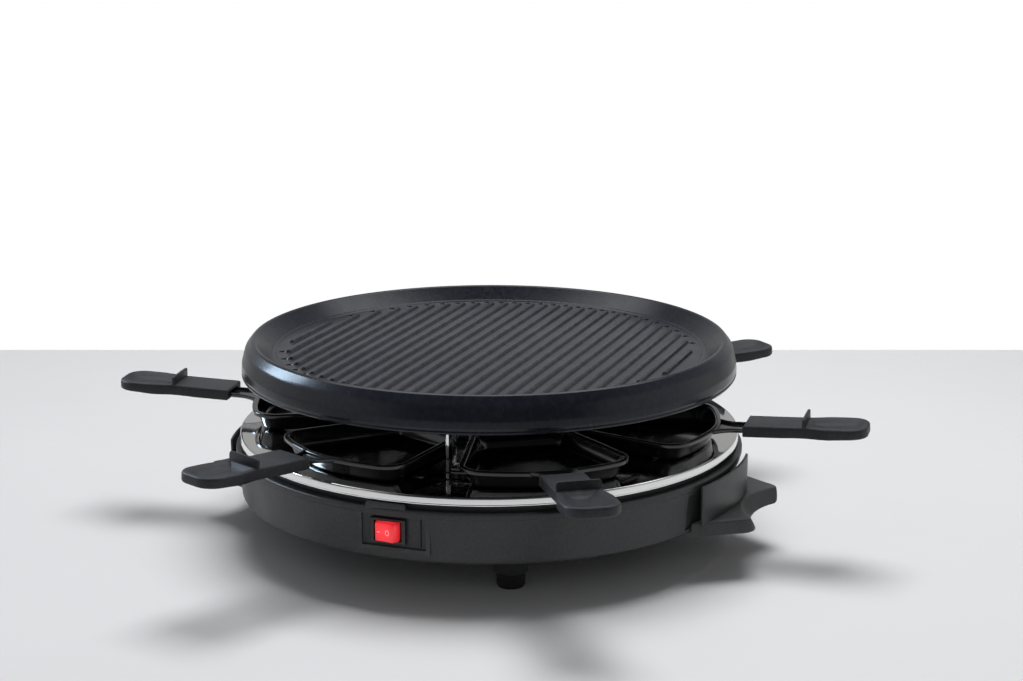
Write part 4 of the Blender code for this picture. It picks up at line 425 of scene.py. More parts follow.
class PanSizes(bpy.types.PropertyGroup):
    top: length("Rim level", "Level of the pan's lip", 81.8)
    depth: length("Depth", "Height of the pan", 11.5)
    sheet: length("Sheet", "Thickness of the pressed sheet", 0.9)
    band: length("Band", "Height of the turned-down edge", 3.2)
    lip: length("Lip", "Width of the flat lip", 3.2)
    taper: length("Taper", "How far the wall draws in", 3.6)
    outer_reach: length("Outer reach", "Reach of the bowed outer edge", 148.0)
    shoulder_reach: length("Shoulder reach", "Reach of the outer edge's shoulders", 140.35)
    shoulder_half: length("Shoulder half width", "Half width at the shoulders", 31.4)
    corner_reach: length("Corner reach", "Reach of the outer corners", 131.0)
    corner_half: length("Corner half width", "Half width at the outer corners", 52.4)
    inner_reach: length("Inner reach", "Reach of the narrow end", 57.0)
    inner_half: length("Inner half width", "Half width of the narrow end", 27.5)
    tongue_width: length("Tongue width", "Width of the tongue", 15.0)
    tongue_drop: length("Tongue drop", "Tongue's underside below the lip", 2.6)
    tongue_sheet: length("Tongue sheet", "Thickness of the tongue", 1.2)
    tongue_rail: length("Tongue rail", "Height of the tongue's rails", 2.2)
    tongue_root: length("Tongue root", "How far the tongue's root lies under the lip", 3.4)
    tongue_flare: length("Tongue flare", "Half width of the tongue's root", 13.0)


class HandleSizes(bpy.types.PropertyGroup):
    start: length("Start", "Reach at which the sleeve begins", 162.0)
    span: length("Length", "Length of the handle", 72.5)
    top: length("Top", "Level of the sleeve's top before it is tilted", 85.0)
    thickness: length("Thickness", "Thickness of the sleeve", 6.8)
    sleeve_half: length("Sleeve half width", "Half width of the sleeve", 12.8)
    grip_half: length("Grip half width", "Half width of the grip", 15.6)
    end_radius: length("End radius", "Rounding of the grip's end", 11.0)
    tab_share: share("Tab place", "Share of the length at which the stop tab stands", 0.495)
    tab_height: length("Tab height", "Height of the stop tab", 5.2)
    tab_sheet: length("Tab sheet", "Thickness of the stop tab", 1.5)
    valley: length("Valley", "Depth of the thumb hollow", 1.9)
    lift: length("Lift", "How far the underside rises towards the end", 0.8)
    tilt: angle_of("Tilt", "Rise of the handle away from the pan", 2.4 * DEG)
    rivet_offset: length("Rivet place", "Distance of the rivet from the sleeve's start", 14.0)


class BaseSizes(bpy.types.PropertyGroup):
    radius: length("Rim radius", "Outer radius of the rim band", 155.0)
    foot_radius: length("Foot radius", "Radius of the wall at its foot", 152.0)
    top: length("Rim level", "Level of the rim", 61.0)
    bottom: length("Foot level", "Level of the wall's foot", low("base_housing").z / MM)
    band: length("Rim band", "Height of the rim band", 3.2)
    step: length("Band step", "How far the band stands proud of the wall", 0.6)
    wall: length("Wall", "Thickness of the wall", 2.4)
    deck_radius: length("Deck radius", "Radius of the deck plate", 149.0)
    deck_low: length("Deck underside", "Level of the deck's underside", 58.6)
    deck_hole: length("Deck hole", "Radius of the hole in the deck", 42.0)
    collar_top: length("Collar top", "Level of the collar under the reflector", 68.7)
    tab_width: length("Rim tab width", "Width of the tab above the switch", 24.0)
    tab_height: length("Rim tab height", "Height of the tab above the rim", 3.2)
    tab_offset: length("Rim tab place", "Offset of the rim tab", -5.5, -1.0)
    reflector_radius: length("Reflector radius", "Radius of the reflector plate", high("reflector_plate").y / MM)
    reflector_top: length("Reflector top", "Level of the reflector plate", high("reflector_plate").z / MM)
    reflector_low: length("Reflector edge", "Level of the flange's lower edge", low("reflector_plate").z / MM)
    foot_height: length("Boss tip", "Level of the foot bosses' tips", 9.0)


class CarrySizes(bpy.types.PropertyGroup):
    bottom: length("Underside", "Level of the shelf's underside", low("carry_handle_right").z / MM)
    thickness: length("Thickness", "Thickness of the shelf", 9.0)
    inner_radius: length("Inner radius", "Radius of the edge at the wall", 152.9)
    reach: length("Reach", "Reach of the shelf's outer edge", 174.9)
    half_width: length("Half width", "Half width at the outer edge", 33.0)
    half_angle: angle_of("Half angle", "Half angle of the edge at the wall", 21.0 * DEG)
    corner: length("Corner", "Rounding of the outer corners", 7.0)
    scoop_centre: length("Scoop centre", "Reach of the scoop's axis", 212.9)
    scoop_radius: length("Scoop radius", "Radius of the scoop at the underside", 45.0)
    scoop_flare: length("Scoop flare", "How much wider the scoop is on top", 7.0)
    edge: length("Edge", "Rounding of the shelf's edges", 1.8)
    shield_radius: length("Shield radius", "Outer radius of the shield", 159.5)
    shield_wall: length("Shield wall", "Thickness of the shield", 1.5)
    shield_top: length("Shield top", "Level of the shield's upper edge", high("carry_handle_right").z / MM)
    shield_front: angle_of("Shield front", "Angle of the shield's front end", 20.0 * DEG)
    shield_back: angle_of("Shield back", "Angle of the shield's back end", 7.5 * DEG)


class SwitchSizes(bpy.types.PropertyGroup):
    panel_left: length("Panel left", "Left end of the flat panel", 20.4)
    panel_right: length("Panel right", "Right end of the flat panel", 18.0)
    panel_low: length("Panel low", "Level of the panel's lower edge", 38.3)
    panel_high: length("Panel high", "Level of the panel's upper edge", 56.8)
    panel_face: length("Panel face", "Distance of the panel from the middle", 150.8)
    slot_place: length("Slot place", "Offset of the slot beside the switch", 14.6)
    slot_width: length("Slot width", "Width of the slot", 0.9)
    mark_line: length("Mark line", "Line width of the rocker's marks", 0.32)
    ring_radius: length("Ring mark", "Radius of the ring mark", 1.25)
    dash: length("Dash mark", "Length of the dash mark", 1.7)


class FinishColours(bpy.types.PropertyGroup):
    coating: colour("Plate coating", "Non-stick coating of the grill plate", (0.009, 0.0105, 0.0155))
    base: colour("Base plastic", "Charcoal plastic of the base", (0.030, 0.031, 0.032))
    handle: colour("Handle plastic", "Black plastic of the pan handles", (0.019, 0.020, 0.024))
    pan: colour("Pan coating", "Glossy coating of the pans", (0.008, 0.008, 0.009))
    chrome: colour("Polished steel", "Reflector plate and posts", (0.80, 0.80, 0.79))
    steel: colour("Bare steel", "Screws and rivets", (0.46, 0.46, 0.46))
    element: colour("Heating element", "Oxidised tube", (0.075, 0.066, 0.060))
    rubber: colour("Foot rubber", "Rubber of the feet", (0.012, 0.012, 0.012))
    lit: colour("Lit red", "The rocker's lit red", (1.0, 0.030, 0.035))
    switch: colour("Switch black", "Bezel of the switch", (0.018, 0.016, 0.017))
    ceramic: colour("Ceramic", "Terminal block", (0.72, 0.69, 0.62))
    mark: colour("Mark", "Marks on the rocker", (1.0, 0.55, 0.55))


class StageSettings(bpy.types.PropertyGroup):
    floor: colour("Floor", "Colour of the floor", (0.60, 0.605, 0.62))
    lamp_power: bpy.props.FloatProperty(
        name="Lamp power", description="Power of the large overhead lamp", default=31.0, min=0.0, unit="POWER"
    )
    ambient: share("Ambient", "Strength of the even light from all round", 0.23)
    floor_reach: length("Floor reach", "Distance of the floor's far edge from the camera", 1772.0)


# Materials
class Tree:
    """A node tree with short ways to add its nodes."""

    def __init__(self, tree):
        self.nodes, self.links = tree.nodes, tree.links

    def fill(self, socket, value):
        """Links a socket to another node's output, or sets its value."""
        if isinstance(value, bpy.types.NodeSocket):
            self.links.new(value, socket)
        elif socket.type == "RGBA":
            socket.default_value = (*value[:3], 1.0)
        else:
            socket.default_value = value

    def node(self, kind, inputs, output=0, **settings):
        """Adds a node, fills its inputs and gives one of its outputs."""
        made = self.nodes.new(kind)
        for key, value in settings.items():
            setattr(made, key, value)
        for key, value in inputs.items():
            self.fill(made.inputs[key], value)
        return made.outputs[output]

    def combined(self, operation, first, second):
        return self.node("ShaderNodeMath", {0: first, 1: second}, "Value", operation=operation)

    def ranged(self, source, lowest, highest, to_low, to_high, **settings):
        return self.node("ShaderNodeMapRange", {
            "Value": source, "From Min": lowest, "From Max": highest, "To Min": to_low, "To Max": to_high,
        }, "Result", **settings)

    def mixed(self, factor, first, second):
        return self.node("ShaderNodeMix", {0: factor, 6: first, 7: second}, 2, data_type="RGBA")


class Shader(Tree):
    """A new material, its surface and its procedural sources."""

    def __init__(self, name):
        old = bpy.data.materials.get(name)
        if old:
            bpy.data.materials.remove(old)
        self.material = bpy.data.materials.new(name)
        self.material.use_nodes = True
        super().__init__(self.material.node_tree)
        self.place = self.node("ShaderNodeTexCoord", {}, "Object")

    def noise(self, scale, detail=4.0, roughness=0.55):
        return self.node("ShaderNodeTexNoise", {
            "Vector": self.place, "Scale": scale, "Detail": detail, "Roughness": roughness,
        }, "Fac")

    def clouds(self, scale, detail, lowest, highest, to_low, to_high):
        return self.ranged(self.noise(scale, detail), lowest, highest, to_low, to_high)

    def bump(self, source, strength, distance, below=None):
        heights = {"Strength": strength, "Distance": distance, "Height": source}
        if below is not None:
            heights["Normal"] = below
        return self.node("ShaderNodeBump", heights, "Normal")

    def surface(self, **values):
        """Fills the surface's own sockets, with _ for each space in a name."""
        for key, value in values.items():
            self.fill(self.nodes["Principled BSDF"].inputs[key.replace("_", " ")], value)
        return self.material


def tinted(base, factor, lift=0.0):
    return tuple(min(1.0, value * factor + lift) for value in base)


def surfaced(name, base, gloss, spread=0.05, metallic=0.0, specular=0.5, blotch=0.16, grain=900.0,
             depth=0.02, ripple=0.0, ripple_scale=60.0, speck=(1.6, 0.004), wear=0.25, worn=None,
             coat=0.0, coat_gloss=0.1, glow=0.0):
    """A surface with blotches of colour, uneven gloss, a fine grain over a slow ripple, worn edges
    and a trace of dust or oil in its colour."""
    shader = Shader(name)
    tint = shader.mixed(shader.clouds(14.0, 5.0, 0.35, 0.65, 0.0, 1.0),
                        tinted(base, 1.0 - blotch), tinted(base, 1.0 + blotch))
    tint = shader.mixed(shader.clouds(grain * 0.45, 2.0, 0.42, 0.62, 0.0, 0.35), tint, tinted(base, *speck))
    edges = shader.ranged(shader.node("ShaderNodeNewGeometry", {}, "Pointiness"), 0.53, 0.60, 0.0, 1.0)
    edges = shader.combined("MULTIPLY", edges, shader.clouds(130.0, 3.0, 0.4, 0.62, 0.0, wear))
    rough = shader.ranged(shader.noise(46.0, 6.0, 0.6), 0.3, 0.7, max(0.02, gloss - spread), gloss + spread)
    slow = shader.bump(shader.noise(ripple_scale, 2.0), ripple, 0.4 * MM) if ripple else None
    if glow:
        shader.surface(Emission_Color=(1.0, 0.35, 0.35), Emission_Strength=glow)
    return shader.surface(
        Base_Color=shader.mixed(edges, tint, worn or tinted(base, 2.6, 0.02)),
        Roughness=rough, Normal=shader.bump(shader.noise(grain, 3.0), depth * 10, 0.05 * MM, slow),
        Metallic=metallic, IOR=1.5, Specular_IOR_Level=specular, Coat_Weight=coat, Coat_Roughness=coat_gloss,
    )


def heat_tinted(base):
    """Oxidised tube with straw and blue tints along it."""
    shader = Shader("Heating element")
    tint = shader.mixed(shader.clouds(26.0, 3.0, 0.38, 0.62, 0.0, 1.0),
                        (base[0] * 0.8, base[1] * 0.8, base[2] * 1.25), (base[0] * 1.5, base[1] * 1.2, base[2]))
    return shader.surface(
        Base_Color=shader.mixed(shader.clouds(420.0, 4.0, 0.5, 0.68, 0.0, 0.6), tint, (0.16, 0.145, 0.13)),
        Roughness=shader.clouds(70.0, 5.0, 0.3, 0.7, 0.42, 0.62),
        Normal=shader.bump(shader.noise(900.0, 3.0), 0.35, 0.05 * MM), Metallic=0.7, Specular_IOR_Level=0.5,
    )


def lit(base):
    """Translucent red plastic lit from behind, brightest in its middle."""
    shader = Shader("Lit red")
    away = shader.node("ShaderNodeVectorMath", {0: shader.place, 1: middle("switch_rocker")}, "Value",
                       operation="DISTANCE")
    cloud = shader.clouds(240.0, 3.0, 0.3, 0.7, 0.82, 1.12)
    return shader.surface(
        Base_Color=shader.mixed(cloud, base, (0.62, 0.012, 0.02)), Emission_Color=(1.0, 0.035, 0.045),
        Emission_Strength=shader.combined("MULTIPLY", shader.ranged(away, 2.0 * MM, 10.0 * MM, 1.0, 0.25), cloud),
        Roughness=shader.clouds(90.0, 4.0, 0.3, 0.7, 0.12, 0.24),
        Normal=shader.bump(shader.noise(700.0, 2.0), 0.08, 0.05 * MM),
        Specular_IOR_Level=0.5, Coat_Weight=0.3, Coat_Roughness=0.06,
    )


# Each finish's colour, mean roughness and what sets it apart
FINISHES = {
    "cast_coating": ("coating", 0.245, {
        "specular": 0.26, "grain": 620.0, "depth": 0.030, "ripple": 0.10, "ripple_scale": 38.0,
        "coat": 0.12, "coat_gloss": 0.13, "wear": 0.35}),
    "base_plastic": ("base", 0.46, {"specular": 0.40, "grain": 1500.0, "depth": 0.045, "wear": 0.30}),
    "handle_plastic": ("handle", 0.50, {"specular": 0.34, "grain": 1300.0, "depth": 0.035, "wear": 0.30}),
    "pan_coating": ("pan", 0.14, {
        "specular": 0.55, "grain": 420.0, "depth": 0.012, "ripple": 0.06, "ripple_scale": 55.0,
        "coat": 0.35, "coat_gloss": 0.08, "wear": 0.30}),
    "polished_steel": ("chrome", 0.055, {
        "spread": 0.02, "metallic": 1.0, "blotch": 0.03, "grain": 260.0, "depth": 0.004,
        "speck": (1.0, 0.0), "wear": 0.10, "worn": (0.9, 0.9, 0.88)}),
    "bare_steel": ("steel", 0.30, {
        "spread": 0.06, "metallic": 1.0, "blotch": 0.08, "grain": 700.0, "wear": 0.5, "worn": (0.75, 0.75, 0.73)}),
    "foot_rubber": ("rubber", 0.72, {"spread": 0.06, "specular": 0.35, "depth": 0.06}),
    "switch_black": ("switch", 0.34, {"grain": 1400.0, "depth": 0.03, "wear": 0.2}),
    "ceramic": ("ceramic", 0.36, {"spread": 0.06, "grain": 800.0, "depth": 0.03, "wear": 0.1}),
    "mark": ("mark", 0.4, {"grain": 1200.0, "wear": 0.0, "glow": 0.55}),
}
MATERIALS = {}


def finish_of(slot):
    """The material of a slot; all are made on first use."""
    if not MATERIALS:
        tone = bpy.context.scene.raclette_finish
        for finish, (name, gloss, details) in FINISHES.items():
            title = finish.replace("_", " ").capitalize()
            MATERIALS[finish] = surfaced(title, getattr(tone, name), gloss, **details)
        MATERIALS["element_steel"] = heat_tinted(tone.element)
        MATERIALS["lit_red"] = lit(tone.lit)
    return MATERIALS[slot]


# Pieces
def groove_ends(sizes):
    """The two ends of each groove between the ribs."""
    count = int(sizes.rib_reach // sizes.rib_pitch)
    shortest = 8 * MM
    ends = []
    for number in range(-count, count + 1):
        x = number * sizes.rib_pitch
        if abs(x) < sizes.dimple_circle - shortest:
            y = math.sqrt(sizes.dimple_circle ** 2 - x * x)
            ends += [(x, y), (x, -y)]
    return ends


def make_ribs(sizes):
    """One rib, copied and drawn out to the circle that the ribs' ends keep to."""
    floor, half_block = sizes.floor_top, 0.5
    rib = block("rib", (-sizes.rib_foot / 2, -half_block, floor - 0.3 * MM),
                (sizes.rib_foot / 2, half_block, floor + sizes.rib_height))
    enter(rib)
    choose("FACE", lambda centre, face: face.normal.z > 0.5)
    widen(sizes.rib_crest / sizes.rib_foot)
    round_edges(lambda centre, edge: centre.z > floor + 0.9 * sizes.rib_height, 0.55 * MM, 4)
    leave()
    ribs = []
    count = int(sizes.rib_reach // sizes.rib_pitch)
    for number in range(-count - 1, count + 1):
        x = (number + 0.5) * sizes.rib_pitch
        if abs(x) >= sizes.rib_reach:
            continue
        half = math.sqrt(sizes.rib_reach ** 2 - x * x)
        ribs.append(copy_of(rib, f"rib_{len(ribs)}"))
        enter(ribs[-1])
        for side in (1, -1):
            choose("VERT", lambda point: point.y * side > 0.0 and point.z < floor)
            shift(x, (half - half_block) * side)
            choose("VERT", lambda point: point.y * side > 0.3 and point.z > floor)
            shift(x, (half - 1.5 * MM - half_block) * side)
        leave()
    remove(rib)
    return ribs


def make_plate(sizes):
    """The cast plate, turned: floor, raised rim, convex skirt, hollow underside; then its dimples and ribs."""
    top, floor, depth = sizes.top, sizes.floor_top, sizes.dimple_depth
    under = floor - sizes.floor
    fall = top - sizes.shoulder_drop
    section = softened(profile(
        (sizes.floor_radius, floor, (-1.6, 0), (-0.8, 0), (0.2, 0.75, 0.8), (1.9, 0.75, 0.8), (2.6, 0.35, 0.7)),
        (sizes.crest, top, (-1.3, -0.35, 2.2), (0.2, 0.05, 1.2), (1.6, -0.55, 2.0)),
        (sizes.shoulder, fall, (0.1, 0, 7.0)),
        (sizes.radius, fall, (-0.4, -8.0, 12.0)),
        (sizes.radius, sizes.bottom, (-0.05, 3.4, 2.0), (-0.45, 2.1, 0.5), (0, 1.2, 0.6), (-0.5, 0, 0.7)),
        (sizes.radius - sizes.wall, sizes.bottom, (0.3, 0, 0.7)),
        (sizes.shoulder, fall, (-2.7, -1.4, 3.0)),
        (sizes.crest, top, (-0.3, -3.0, 1.5)),
        (sizes.floor_radius, under, (-0.5, 0, 2.0)),
        (sizes.post_radius, under, (3.6, 0, 0.6), (3.6, -3.0, 0.4), (1.2, -3.0, 0.4), (1.2, 0, 0.6), (-6.0, 0)),
    ), 5)
    plate = turned("plate", [point for point in section if point[1] <= top], capped=True)
    ball = (sizes.dimple ** 2 + depth ** 2) / (2 * depth)
    balls = []
    for x, y in groove_ends(sizes):
        clear_choice()
        bpy.ops.mesh.primitive_uv_sphere_add(
            segments=24, ring_count=16, radius=ball, location=(x, y, floor + ball - depth)
        )
        balls.append(named(f"dimple_{len(balls)}"))
    join(*balls)
    cut(plate, balls[0])
    enter(plate)
    choose("FACE", lambda centre, face: len(face.verts) > 4 and face.normal.z > 0.99)
    bpy.ops.mesh.quads_convert_to_tris(quad_method="BEAUTY", ngon_method="BEAUTY")
    leave()
    join(plate, *make_ribs(sizes))
    smooth(plate, 30 * DEG)
    dress(plate, "plate", "cast_coating", "grill_plate")


def make_pan(sizes, handle):
    """The pressed pan in its own frame, its narrow end towards the middle, with its tongue."""
    clear_choice()
    bpy.ops.mesh.primitive_plane_add(size=1.0, location=(0.0, 0.0, sizes.top))
    pan = named("pan")
    enter(pan)
    for side in (1, -1):
        choose("VERT", lambda point: point.x < 0.0 and point.y * side > 0.0)
        shift(sizes.inner_reach + 0.5, (sizes.inner_half - 0.5) * side)
    for side in (1, -1):
        choose("VERT", lambda point: point.x > 0.4 and point.y * side > 0.4)
        shift(sizes.corner_reach - 0.5, (sizes.corner_half - 0.5) * side)
    far = sizes.corner_reach - 1.0 * MM
    choose("EDGE", lambda centre, edge: centre.x > far)
    bpy.ops.mesh.subdivide(number_cuts=3)
    half = sizes.corner_half / 2
    for across, reach, out in ((0.0, sizes.outer_reach, 0.0), (half, sizes.shoulder_reach, sizes.shoulder_half - half),
                               (-half, sizes.shoulder_reach, half - sizes.shoulder_half)):
        choose("VERT", lambda point: point.x > far and abs(point.y - across) < 1.0 * MM)
        shift(reach - sizes.corner_reach, out)
    for reach, across, width, steps in (
        (sizes.outer_reach, 0.0, 14.6 * MM, 12),
        (sizes.shoulder_reach, sizes.shoulder_half, 8.0 * MM, 8),
        (sizes.corner_reach, sizes.corner_half, 13.6 * MM, 14),
        (sizes.inner_reach, sizes.inner_half, 8.3 * MM, 12),
    ):
        choose("VERT", lambda point: abs(point.x - reach) < 0.2 * MM and abs(abs(point.y) - across) < 0.2 * MM)
        round_chosen(width, steps, "VERTICES")
    choose("FACE", lambda centre, face: True)

    # The lip, the drawn wall, its round foot and the pan's slightly crowned floor
    foot, foot_steps = 2.4 * MM, 5
    bpy.ops.mesh.inset(thickness=sizes.lip, depth=0.0)
    bpy.ops.mesh.inset(thickness=sizes.taper - 0.6 * MM, depth=sizes.sheet + foot - sizes.depth)
    for step in range(foot_steps):
        start, end = (math.pi / 2 * part / foot_steps for part in (step, step + 1))
        across = max((math.cos(start) - math.cos(end)) * foot, 0.05 * MM)
        bpy.ops.mesh.inset(thickness=across, depth=(math.sin(start) - math.sin(end)) * foot)
    centre = ((sizes.inner_reach + sizes.outer_reach) / 2, 0.0, sizes.top)
    for along, rise in ((0.86, 0.0), (0.97, 0.35 * MM), (0.5, 0.0)):
        bpy.ops.mesh.inset(thickness=0.01 * MM, depth=0.0)
        widen(along, along, 1.0, about=centre)
        shift(z=rise)
    choose("EDGE", lambda centre, edge: len(edge.link_faces) == 1)
    extrude_edges(sizes.sheet - sizes.band)
    round_edges(lambda centre, edge: centre.z > sizes.top - 0.1 * MM and sharp(edge, 30 * DEG), 0.8 * MM, 4)
    leave()
    thicken(pan, sizes.sheet, -1.0)
    join(pan, make_tongue(sizes, handle))
    smooth(pan, 35 * DEG)
    return pan


def make_tongue(sizes, handle):
    """The tongue that carries the handle: flared at its root, with a rail along each side."""
    level = sizes.top - sizes.tongue_drop + sizes.tongue_sheet
    start, end = sizes.outer_reach - sizes.tongue_root, handle.start + 24.0 * MM
    half, columns, flare_length = sizes.tongue_width / 2, 24, 12.0 * MM
    tongue = flat_grid("tongue", columns, 4, (start, end), (-half, half), level)
    for column in range(columns // 2 + 1):
        x = start + (end - start) * column / columns
        away = min(1.0, (x - start) / flare_length)
        flare = (1.0 - away) ** 2 * (sizes.tongue_flare - half) + half
        choose("VERT", lambda point: abs(point.x - x) < 0.1 * MM)
        widen(1.0, flare / half)
    choose("EDGE", lambda centre, edge: len(edge.link_faces) == 1
           and start + 0.1 * MM < centre.x < end - 0.1 * MM)
    extrude_edges(sizes.tongue_rail)
    round_edges(lambda centre, edge: centre.z < level + 0.1 * MM and sharp(edge, 40 * DEG), 0.9 * MM, 4)
    choose_all()
    bpy.ops.mesh.normals_make_consistent(inside=False)
    leave()
    thicken(tongue, sizes.tongue_sheet, 0.0)
    round_by_angle(tongue, 0.25 * MM, 2, 50 * DEG)
    put(tongue, tilted(handle, sizes) @ Matrix.Translation((0.0, 0.0, -sizes.tongue_sheet / 2)))
    return tongue


def tilted(handle, pan):
    """The small rise of the tongue and handle about the tongue's root."""
    about = Vector((pan.outer_reach - pan.tongue_root, 0.0, pan.top - pan.tongue_drop))
    return Matrix.Translation(about) @ Matrix.Rotation(-handle.tilt, 4, "Y") @ Matrix.Translation(-about)


def eased(share_done):
    return share_done * share_done * (3 - 2 * share_done)


def make_handle(sizes, pan):
    """The moulded handle in its pan's frame: sleeve, stop tab, and a grip with a thumb hollow."""
    start, end = sizes.start, sizes.start + sizes.span
    top, bottom = sizes.top, sizes.top - sizes.thickness
    columns, flare_start, flare_span = 40, 0.48, 0.24
    handle = flat_grid("handle", columns, 1, (start, end), (-sizes.sleeve_half, sizes.sleeve_half), top)
    for column in range(columns + 1):
        flare = eased(min(1.0, max(0.0, (column / columns - flare_start) / flare_span)))
        if flare:
            x = start + sizes.span * column / columns
            choose("VERT", lambda point: abs(point.x - x) < 0.2 * MM)
            widen(1.0, 1.0 + flare * (sizes.grip_half / sizes.sleeve_half - 1.0))
    choose("EDGE", lambda centre, edge: len(edge.link_faces) == 2)
    bpy.ops.mesh.dissolve_edges(use_verts=False)
    choose("VERT", lambda point: end - 1.6 * sizes.end_radius < point.x < end - 0.2 * MM)
    bpy.ops.mesh.dissolve_verts()
    choose("VERT", lambda point: point.x > end - 0.2 * MM)
    round_chosen(sizes.end_radius, 16, "VERTICES")
    choose_all()
    bpy.ops.mesh.normals_make_consistent(inside=False)
    choose_all()
    bpy.ops.mesh.extrude_region_move(TRANSFORM_OT_translate={"value": (0.0, 0.0, -sizes.thickness)})
    face_outwards()
    round_edges(lambda centre, edge: sharp(edge) and centre.z > top - 0.1 * MM, 1.5 * MM, 5)
    round_edges(lambda centre, edge: sharp(edge) and centre.z < bottom + 0.1 * MM, 1.1 * MM, 4)
    tab_x = start + sizes.span * sizes.tab_share
    grip_x = tab_x + sizes.tab_sheet / 2
    choose_all()
    bpy.ops.mesh.bisect(plane_co=(grip_x, 0.0, 0.0), plane_no=(1.0, 0.0, 0.0))

    # The thumb hollow: the grip's top face drawn in and down in rings
    choose("FACE", lambda centre, face: face.normal.z > 0.9 and centre.x > tab_x and centre.z > top - 0.05 * MM)
    about = ((grip_x + end) / 2 - 3.0 * MM, 0.0, top)
    bpy.ops.mesh.inset(thickness=0.9 * MM, depth=0.0)
    for along, across, drop in (
        (0.985, 0.90, 0.10), (0.93, 0.86, 0.34), (0.93, 0.88, 0.42), (0.92, 0.85, 0.36), (0.90, 0.80, 0.24),
        (0.86, 0.72, 0.14), (0.78, 0.55, 0.06),
    ):
        bpy.ops.mesh.inset(thickness=0.0001 * MM, depth=0.0)
        widen(along, across, 1.0, about=about)
        shift(z=-drop * sizes.valley)

    # The underside rises towards the end in slow waves
    risen, rise_start = 0.0, 0.3
    for column in range(round(columns * rise_start), columns + 1):
        done = (column / columns - rise_start) / (1 - rise_start)
        rise = sizes.lift * (eased(done) + 0.22 * math.sin(done * 3 * math.pi))
        x = start + sizes.span * column / columns - 0.3 * MM
        choose("VERT", lambda point: point.x > x and point.z < bottom + 1.2 * MM + risen)
        shift(z=rise - risen)
        risen = rise
    leave()

    half = pan.tongue_width / 2 + 0.9 * MM
    cut(handle, block("pocket", (start - OVERRUN, -half, pan.top - pan.tongue_drop - 0.5 * MM),
                      (start + 26.0 * MM, half, pan.top + 1.0 * MM)))
    half = sizes.sleeve_half - 0.15 * MM
    tab = block("tab", (tab_x - sizes.tab_sheet / 2, -half, top - 1.0 * MM), (grip_x, half, top + sizes.tab_height))
    enter(tab)
    round_edges(lambda centre, edge: centre.z > top + 0.9 * sizes.tab_height and abs(centre.y) > 0.9 * half,
                1.9 * MM, 8)
    round_edges(lambda centre, edge: sharp(edge) and centre.z > top, 0.3 * MM, 2)
    leave()
    join(handle, tab)
    smooth(handle, 38 * DEG)
    put(handle, tilted(sizes, pan))
    return handle


def make_rivet():
    """A domed rivet head over a short shank."""
    rivet = turned("rivet", profile(
        (0, low("handle_rivet_1").z, (0.7, 0), (1.9, 0.12, 1.2), (2.75, 0.75, 0.3), (2.75, 0.95, 0.1), (1.3, 1.0, 0.1)),
        (0, high("handle_rivet_1").z, (1.3, -0.3, 0.2), (0.7, 0)),
    ), SMALL_STEPS, capped=True)
    smooth(rivet)
    return rivet


def wall_radius(sizes, height):
    """The outer radius of the base's wall at a level."""
    top = sizes.top - sizes.band - sizes.step
    flare = sizes.radius - sizes.step - sizes.foot_radius
    return sizes.foot_radius + flare * (height - sizes.bottom - 4 * MM) / (top - sizes.bottom - 4 * MM)


